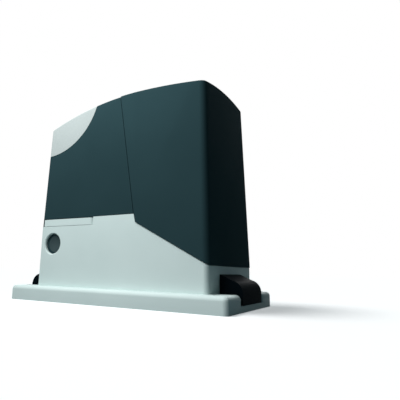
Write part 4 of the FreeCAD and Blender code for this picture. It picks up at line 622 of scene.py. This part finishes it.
def makeHexBolt(name, values, form):
    # the head has a shallow dish on top, a cone that takes its corners off, and a round collar
    low, high = (np.array(corner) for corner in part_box(name))
    axis = "xyz".index(values["way"][-1])
    place = (low + high) / 2
    place[axis] = high[axis]
    length = (high - low)[axis] / mm
    flats, tall, shank = values["flats"], values["tall"], values["shank"]
    collar, collarTop = flats * form["collar"], tall - form["collarTall"]
    thread = length - values["threaded"]
    rows = roundRows((form["dishDeep"], 0), (form["dishDeep"], flats * form["dish"][0]),
                     (0, flats * form["dish"][1]))
    rows += [(form["coneStep"] * row, flats, "hexagon") for row in range(form["coneRows"])]
    rows += [(collarTop, flats, "hexagon")]
    rows += roundRows((collarTop, collar), (tall, collar), (tall, shank), (thread, shank))
    rows += threadRows(thread + form["lead"], length, shank, values["pitch"], form["tip"])

    def cone(distance):
        if distance < form["coneTall"]:
            return flats * form["coneStart"] + form["coneSlope"] * distance
        return 2 * flats

    points = turnedPoints(rows, place, values["way"], reach=cone)
    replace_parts(gridPiece(name + "_made", points, values["body"], values["slot"]), name)


for name, values in hexBolts.items():
    makeHexBolt(name, values, hexForm)
print("hexagon bolts made")


# the coil springs: one round the limit stem, and the clutch's, which the pin squeezes

stemSpring = {"start": 3.0, "end": 30.0, "turns": 13, "radius": 2.35, "wire": 0.6, "steps": 28}
clutchSpring = {"turns": 9, "wire": 0.9, "steps": 40, "endTurn": 0.08, "travel": 8.0}
wireSides = 12


def coilPoints(values, radius, along, middle):
    # a ring of the wire's radius carried along a screw line: its middle goes round the axis while
    # it moves along y, and the ring stands across the line, in the outward and lengthwise ways
    turn = np.linspace(0, 2 * math.pi * values["turns"], len(along))
    outward = np.stack([np.cos(turn), np.zeros_like(turn), np.sin(turn)], -1)
    line = radius * outward + along[:, None] * np.array([0, 1.0, 0])
    around = np.linspace(0, 2 * math.pi, wireSides, endpoint=False)[None, :, None]
    ring = np.cos(around) * outward[:, None] + np.sin(around) * np.array([0, 1.0, 0])
    return (middle + mm * (line[:, None] + values["wire"] * ring))[None]


def makeStemSpring(values):
    # the start and the end are measured back from the stem's tip
    low, high = (np.array(corner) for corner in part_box("limit_switch_stem"))
    middle = np.array([(low[0] + high[0]) / 2, high[1], (low[2] + high[2]) / 2])
    along = -np.linspace(values["start"], values["end"], values["turns"] * values["steps"] + 1)
    gridPiece("stem_spring", coilPoints(values, values["radius"], along, middle),
              "limit_stem", "steel")


def makeClutchSpring(values):
    # the first and the last turn lie closer than the others, as on a spring with closed ends
    low, high = (np.array(corner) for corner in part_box("release_spring"))
    middle = np.array([(low[0] + high[0]) / 2, low[1], (low[2] + high[2]) / 2])
    length, outside = (high[1] - low[1]) / mm, (high[0] - low[0]) / 2 / mm
    share = np.linspace(0, 1, values["turns"] * values["steps"] + 1)
    eased = np.interp(share, [0, 1 / values["turns"], 1 - 1 / values["turns"], 1],
                      [0, values["endTurn"], 1 - values["endTurn"], 1])
    along = values["wire"] + (length - 2 * values["wire"]) * eased
    spring = gridPiece("clutch_spring", coilPoints(values, outside - values["wire"], along, middle),
                       "output", "steel")
    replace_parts(spring, "release_spring")
    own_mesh(spring)


makeStemSpring(stemSpring)
makeClutchSpring(clutchSpring)
print("coil springs made")


# the ring transformer, wound with lapped tape

winding = {"hole": 12.0, "laps": 46, "lift": 0.45, "lean": 1.6, "power": 0.4, "around": 552,
           "across": 64}


def makeWinding(values):
    # a rounded box section carried round the upright axis; the section stands proud by a saw
    # tooth of the angle round the axis, leaning with the angle round the section, for the laps
    low, high = (np.array(corner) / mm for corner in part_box("transformer"))
    middle = (low + high) / 2
    outer, inner = (high[0] - low[0]) / 2, values["hole"]
    half = np.array([(outer - inner) / 2, (high[2] - low[2]) / 2]) - values["lift"]
    around = np.linspace(0, 2 * math.pi, values["across"], endpoint=False)[None, :]
    turn = np.linspace(0, 2 * math.pi, values["around"], endpoint=False)[:, None]
    across, up = (np.sign(wave) * np.abs(wave) ** values["power"]
                  for wave in (np.cos(around), np.sin(around)))
    lap = values["laps"] * turn / (2 * math.pi) + values["lean"] * np.sin(around)
    tooth = values["lift"] * (lap - np.floor(lap))
    reach = (outer + inner) / 2 + across * (half[0] + tooth)
    points = np.stack([middle[0] + reach * np.cos(turn), middle[1] + reach * np.sin(turn),
                       middle[2] + up * (half[1] + tooth)], -1)
    piece = gridPiece("transformer_winding", mm * points[None], "base", "tape_yellow", ends=False)
    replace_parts(piece, "transformer")


makeWinding(winding)
print("transformer winding made")


# blocks on the control board, which stands upright with its face to the front; each block is
# (x, z, width, height, thickness)

boardFace = -49.6
boardBlocks = {
    "board_chips": {"slot": "relay_black", "sharp": 0.08, "blocks": [
        (-84, 194, 12, 12, 1.8), (-50, 203, 9, 6, 1.6), (-104, 182, 6, 5, 1.5),
        (-62, 146, 8, 5, 1.6), (-98, 146, 8, 5, 1.6)]},
    "board_quartz": {"slot": "zinc_steel", "sharp": 0.35, "blocks": [(-68, 186, 11, 4.6, 3.6)]},
    "board_buttons": {"slot": "relay_black", "sharp": 0.12, "blocks": [
        (-38, 222, 6, 6, 3.6), (-48, 222, 6, 6, 3.6), (-58, 222, 6, 6, 3.6)]},
    "board_lamps": {"slot": "tape_yellow", "sharp": 0.6, "blocks": [
        (-38, 213, 3, 2, 1.4), (-48, 213, 3, 2, 1.4), (-58, 213, 3, 2, 1.4)]},
    "board_connector": {"slot": "panel_plastic", "sharp": 0.1, "blocks": [
        (-111, 200, 6, 18, 8), (-29, 196, 6, 12, 8)]},
}


def makeBoardBlocks(name, values):
    x, z, wide, high, thick = np.array(values["blocks"], float).T
    places = np.stack([x, boardFace - thick / 2, z], -1)
    points = roundBlocks(places, np.stack([wide, thick, high], -1), values["sharp"])
    gridPiece(name, points, "base", values["slot"])


for name, values in boardBlocks.items():
    makeBoardBlocks(name, values)


# the tops of the board's buttons

buttonTops = {"stand": 4.2, "columns": 24,
              "profile": roundRows((-0.4, 0), (-0.4, 1.4), (-0.1, 1.7), (1, 1.7), (1, 0))}


def makeButtonTops(values):
    places = [(mm * x, mm * (boardFace - values["stand"]), mm * z)
              for x, z, *size in boardBlocks["board_buttons"]["blocks"]]
    points = turnedPoints(values["profile"], places, "y", values["columns"])
    gridPiece("board_button_tops", points, "base", "terminal_green")


makeButtonTops(buttonTops)


# legs of the large chip: a row of small blocks along each of its four sides

chipLegs = {"count": 9, "pitch": 1.27, "deep": 0.4, "out": 0.7, "length": 1.5, "width": 0.5,
            "thickness": 0.7, "sharp": 0.2, "blockGrid": (6, 8)}


def makeChipLegs(values):
    x, z, wide, high, _ = boardBlocks["board_chips"]["blocks"][0]
    step = (np.arange(values["count"]) - (values["count"] - 1) / 2) * values["pitch"]
    deep = np.full_like(step, boardFace - values["deep"])
    reachUp, reachOut = high / 2 + values["out"], wide / 2 + values["out"]
    above = [np.stack([x + step, deep, np.full_like(step, z + side * reachUp)], -1)
             for side in (-1, 1)]
    beside = [np.stack([np.full_like(step, x + side * reachOut), deep, z + step], -1)
              for side in (-1, 1)]
    length, width, thick = values["length"], values["width"], values["thickness"]
    for name, places, size in (("board_legs_across", above, (width, thick, length)),
                               ("board_legs_up", beside, (length, thick, width))):
        points = roundBlocks(np.concatenate(places), size, values["sharp"], *values["blockGrid"])
        gridPiece(name, points, "base", "zinc_steel")


makeChipLegs(chipLegs)


# small resistors beside the large chip, in uneven rows

resistors = {"columns": 9, "rows": 5, "start": (-96.0, 202.5), "pitch": (5.2, 1.9),
             "stray": (0.9, 0.3), "deep": 0.3, "size": (2.0, 0.7, 1.1), "sharp": 0.15,
             "fullBelow": 209.0, "emptyLeft": -76.0, "leftOut": -0.5, "blockGrid": (6, 12)}


def makeResistors(values):
    # a grid of places, each moved a little by a sine of its number; above the full rows another
    # sine of the number leaves some out, and the left part stays empty
    number = np.arange(values["rows"] * values["columns"])
    x = (values["start"][0] + values["pitch"][0] * (number % values["columns"])
         + values["stray"][0] * np.sin(5 * number))
    z = (values["start"][1] + values["pitch"][1] * (number // values["columns"])
         + values["stray"][1] * np.sin(3 * number))
    places = np.stack([x, np.full_like(x, boardFace - values["deep"]), z], -1)
    sparse = (np.sin(7 * number) > values["leftOut"]) & (x > values["emptyLeft"])
    kept = sparse | (z < values["fullBelow"])
    points = roundBlocks(places[kept], values["size"], values["sharp"], *values["blockGrid"])
    gridPiece("board_resistors", points, "base", "relay_black")


makeResistors(resistors)


# upright cans with a rim and a crossed vent in the end: each is (x, z, radius, height)

cans = [(-40, 186, 3.6, 8), (-50, 186, 3.1, 7), (-106, 166, 3.1, 7)]
canForm = {"ventDeep": 0.35, "vent": (0.5, 0.6), "endDeep": 0.15, "end": 0.82, "narrow": 0.9,
           "rim": 0.3, "neck": (2.2, 1.8, 1.4)}


def makeCan(name, form, x, z, radius, tall):
    # from the vent outwards, over the rim and down to the neck above the board
    vent, end, thin = form["ventDeep"], form["endDeep"], form["narrow"] * radius
    above, middle, below = (tall - down for down in form["neck"])
    profile = [(vent, 0, "round"), (vent, form["vent"][0] * radius, "cross"),
               (end, form["vent"][1] * radius, "cross")]
    profile += roundRows((end, form["end"] * radius), (0, thin), (form["rim"], radius),
                         (above, radius), (middle, thin), (below, radius), (tall, radius),
                         (tall, 0))
    points = turnedPoints(profile, (mm * x, mm * (boardFace - tall), mm * z), "y")
    gridPiece(name, points, "base", "aluminium")


for order, can in enumerate(cans):
    makeCan("board_can_%d" % order, canForm, *can)


# the fuse: a pale tube with a metal cap at each end, in two clips

fuse = {"x": -38, "z": 148, "radius": 2.6, "length": 18, "stand": 0.8, "tubeInset": 3,
        "tube": 0.9, "cap": 4.9, "capSoft": 0.3, "clipInset": 2.4, "clipDeep": 0.9,
        "clipSize": (3.2, 1.8, 6.4), "clipSharp": 0.2, "columns": 32}


def makeFuse(values):
    x, z, radius, length = values["x"], values["z"], values["radius"], values["length"]
    inset, cap, soft = values["tubeInset"], values["cap"], values["capSoft"]
    thin = radius * values["tube"]
    start = mm * np.array((x - length / 2, boardFace - radius - values["stand"], z))
    tube = roundRows((inset, 0), (inset, thin), (length - inset, thin), (length - inset, 0))
    points = turnedPoints(tube, start, "x", values["columns"])
    gridPiece("fuse_tube", points, "base", "panel_plastic")
    profile = roundRows((0, 0), (0, radius - soft), (soft, radius), (cap - soft, radius),
                        (cap, thin), (cap, 0))
    ends = [start, start + mm * np.array((length - cap, 0, 0))]
    points = turnedPoints(profile, ends, "x", values["columns"])
    gridPiece("fuse_caps", points, "base", "zinc_steel")
    clips = [(x + side * (length / 2 - values["clipInset"]), boardFace - values["clipDeep"], z)
             for side in (-1, 1)]
    points = roundBlocks(clips, values["clipSize"], values["clipSharp"])
    gridPiece("fuse_clips", points, "base", "copper")


makeFuse(fuse)


# terminal screws: crossed heads on top of the terminal blocks

terminalScrews = {"blocks": 4, "blockPitch": 21.0, "ways": 4, "wayStart": 3.0, "wayPitch": 4.3,
                  "stand": 0.25, "columns": 32,
                  "cross": [(0.7, 0, "round"), (0.7, 1.0, "cross"), (0, 1.1, "cross")],
                  "head": roundRows((0, 1.5), (0.2, 1.7), (0.9, 1.7), (0.9, 0))}


def makeTerminalScrews(values):
    low, high = (np.array(corner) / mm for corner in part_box("terminal_blocks"))
    block = np.arange(values["blocks"])[:, None]
    way = np.arange(values["ways"])[None, :]
    first = low[0] + values["wayStart"]
    x = (first + values["blockPitch"] * block + values["wayPitch"] * way).ravel()
    places = np.stack([x, np.full_like(x, (low[1] + high[1]) / 2),
                       np.full_like(x, high[2] + values["stand"])], -1)
    points = turnedPoints(values["cross"] + values["head"], mm * places, "-z", values["columns"])
    gridPiece("terminal_screws", points, "base", "zinc_steel")


makeTerminalScrews(terminalScrews)
print("board parts made")


# camera, floor and light

# fitted to the photograph: the place is in metres, the angles in radians, the focal length and
# the optical middle in pixels of the square frame, and the sensor in millimetres

camera = {"place": (0.310731, -0.477269, 0.044069), "turn": 0.52488, "tilt": 0.18196,
          "roll": -0.02562, "focal": 388.146, "middle": 162.073, "frame": 400, "sensor": 36.0,
          "near": 0.01, "far": 60}


def setCamera(values):
    def about(axis, angle):
        return Matrix.Rotation(angle, 3, axis)

    turned = about("Z", values["turn"]) @ about("X", values["tilt"]) @ about("Y", values["roll"])
    right, ahead, up = turned.col[0], turned.col[1], turned.col[2]
    data = bpy.data.cameras.new("camera")
    data.sensor_width = values["sensor"]
    data.lens = values["focal"] / values["frame"] * values["sensor"]
    data.shift_x = (values["frame"] / 2 - values["middle"]) / values["frame"]
    data.clip_start = values["near"]
    data.clip_end = values["far"]
    thing = bpy.data.objects.new("camera", data)
    thing.matrix_world = Matrix.LocRotScale(
        Vector(values["place"]), Matrix((right, up, -ahead)).transposed().to_quaternion(), None)
    bpy.context.collection.objects.link(thing)
    bpy.context.scene.camera = thing


# the floor is nearly white where the camera sees it, and greyer in the light that it gives back

floor = {"size": 24.0, "squares": 8, "grey": (0.12, 0.19, 0.22, 1), "glow": 0.42, "seen": 1.36}


def makeFloor(values):
    # a grid of two parameters over a level square: x and y run with them, z is nought
    count = values["squares"] + 1
    along = np.linspace(-values["size"] / 2, values["size"] / 2, count)
    x, y = np.meshgrid(along, along)
    points = np.stack([x, y, np.zeros_like(x)], -1).reshape(-1, 3)
    index = np.arange(count * count).reshape(count, count)
    faces = np.stack([index[:-1, :-1], index[:-1, 1:], index[1:, 1:], index[1:, :-1]], -1)
    mesh = bpy.data.meshes.new("floor")
    mesh.from_pydata(points.tolist(), [], faces.reshape(-1, 4).tolist())
    thing = bpy.data.objects.new("floor", mesh)
    bpy.context.collection.objects.link(thing)
    return addFloorPaint(thing, values)


def addFloorPaint(thing, values):
    material = bpy.data.materials.new("paleFloor")
    material.use_nodes = True
    tree = material.node_tree
    tree.nodes.clear()
    out = tree.nodes.new("ShaderNodeOutputMaterial")
    plain = tree.nodes.new("ShaderNodeBsdfDiffuse")
    plain.inputs["Color"].default_value = values["grey"]
    seen = tree.nodes.new("ShaderNodeBsdfDiffuse")
    seen.inputs["Color"].default_value = (values["seen"],) * 3 + (1,)
    glow = tree.nodes.new("ShaderNodeEmission")
    glow.inputs["Strength"].default_value = values["glow"]
    both = tree.nodes.new("ShaderNodeAddShader")
    pick = tree.nodes.new("ShaderNodeMixShader")
    tree.links.new(seen.outputs[0], both.inputs[0])
    tree.links.new(glow.outputs[0], both.inputs[1])
    tree.links.new(seenRay(tree), pick.inputs["Fac"])
    tree.links.new(plain.outputs[0], pick.inputs[1])
    tree.links.new(both.outputs[0], pick.inputs[2])
    tree.links.new(pick.outputs[0], out.inputs["Surface"])
    thing.data.materials.append(material)
    return thing


def seenRay(tree):
    # 1 for what the camera sees, straight, in a reflection or through glass
    path = tree.nodes.new("ShaderNodeLightPath")
    first = tree.nodes.new("ShaderNodeMath")
    second = tree.nodes.new("ShaderNodeMath")
    for step in (first, second):
        step.operation = "MAXIMUM"
    tree.links.new(path.outputs["Is Camera Ray"], first.inputs[0])
    tree.links.new(path.outputs["Is Glossy Ray"], first.inputs[1])
    tree.links.new(first.outputs[0], second.inputs[0])
    tree.links.new(path.outputs["Is Transmission Ray"], second.inputs[1])
    return second.outputs[0]


studio = {"fill": 0.095, "tint": (0.50, 0.80, 0.90),
          "above": (-0.38, -0.20, 0.90), "abovePower": 1.3, "aboveSoft": 24.0,
          "front": (-0.12, -0.96, 0.25), "frontPower": 0.84, "frontSoft": 20.0,
          "behind": (-0.25, 0.86, 0.45), "behindPower": 1.7, "behindSoft": 40.0,
          "lamp": (-0.05, -0.32, 0.46), "lampPower": 2.1, "lampSize": 0.25,
          "lampAim": (0, 0, 0.13)}


def makeLight(values, ground):
    # the sun from above lights everything and casts the one shadow; the others skip the floor
    notFloor = bpy.data.collections.new("notFloor")
    notFloor.objects.link(ground)
    notFloor.collection_objects[0].light_linking.link_state = "EXCLUDE"
    world = bpy.data.worlds.new("studio")
    bpy.context.scene.world = world
    world.use_nodes = True
    tree = world.node_tree
    background = tree.nodes["Background"]
    mix = tree.nodes.new("ShaderNodeMix")
    mix.data_type = "RGBA"
    mix.inputs["A"].default_value = tuple(part * values["fill"] for part in values["tint"]) + (1,)
    mix.inputs["B"].default_value = (1, 1, 1, 1)
    tree.links.new(seenRay(tree), mix.inputs["Factor"])
    tree.links.new(mix.outputs["Result"], background.inputs["Color"])
    for name in ("above", "front", "behind", "lamp"):
        light = bpy.data.lights.new(name, "AREA" if name == "lamp" else "SUN")
        light.energy = values[name + "Power"]
        place, aim = Vector(values[name]), Vector()
        if name == "lamp":
            light.size = values["lampSize"]
            aim = Vector(values["lampAim"])
        else:
            light.angle = math.radians(values[name + "Soft"])
        thing = bpy.data.objects.new(light.name, light)
        if name != "above":
            thing.light_linking.receiver_collection = notFloor
        facing = (aim - place).to_track_quat("-Z", "Y")
        thing.matrix_world = Matrix.LocRotScale(place, facing, None)
        bpy.context.collection.objects.link(thing)


setCamera(camera)
makeLight(studio, makeFloor(floor))
bpy.context.scene.view_settings.view_transform = "Standard"
print("camera, floor and light set")
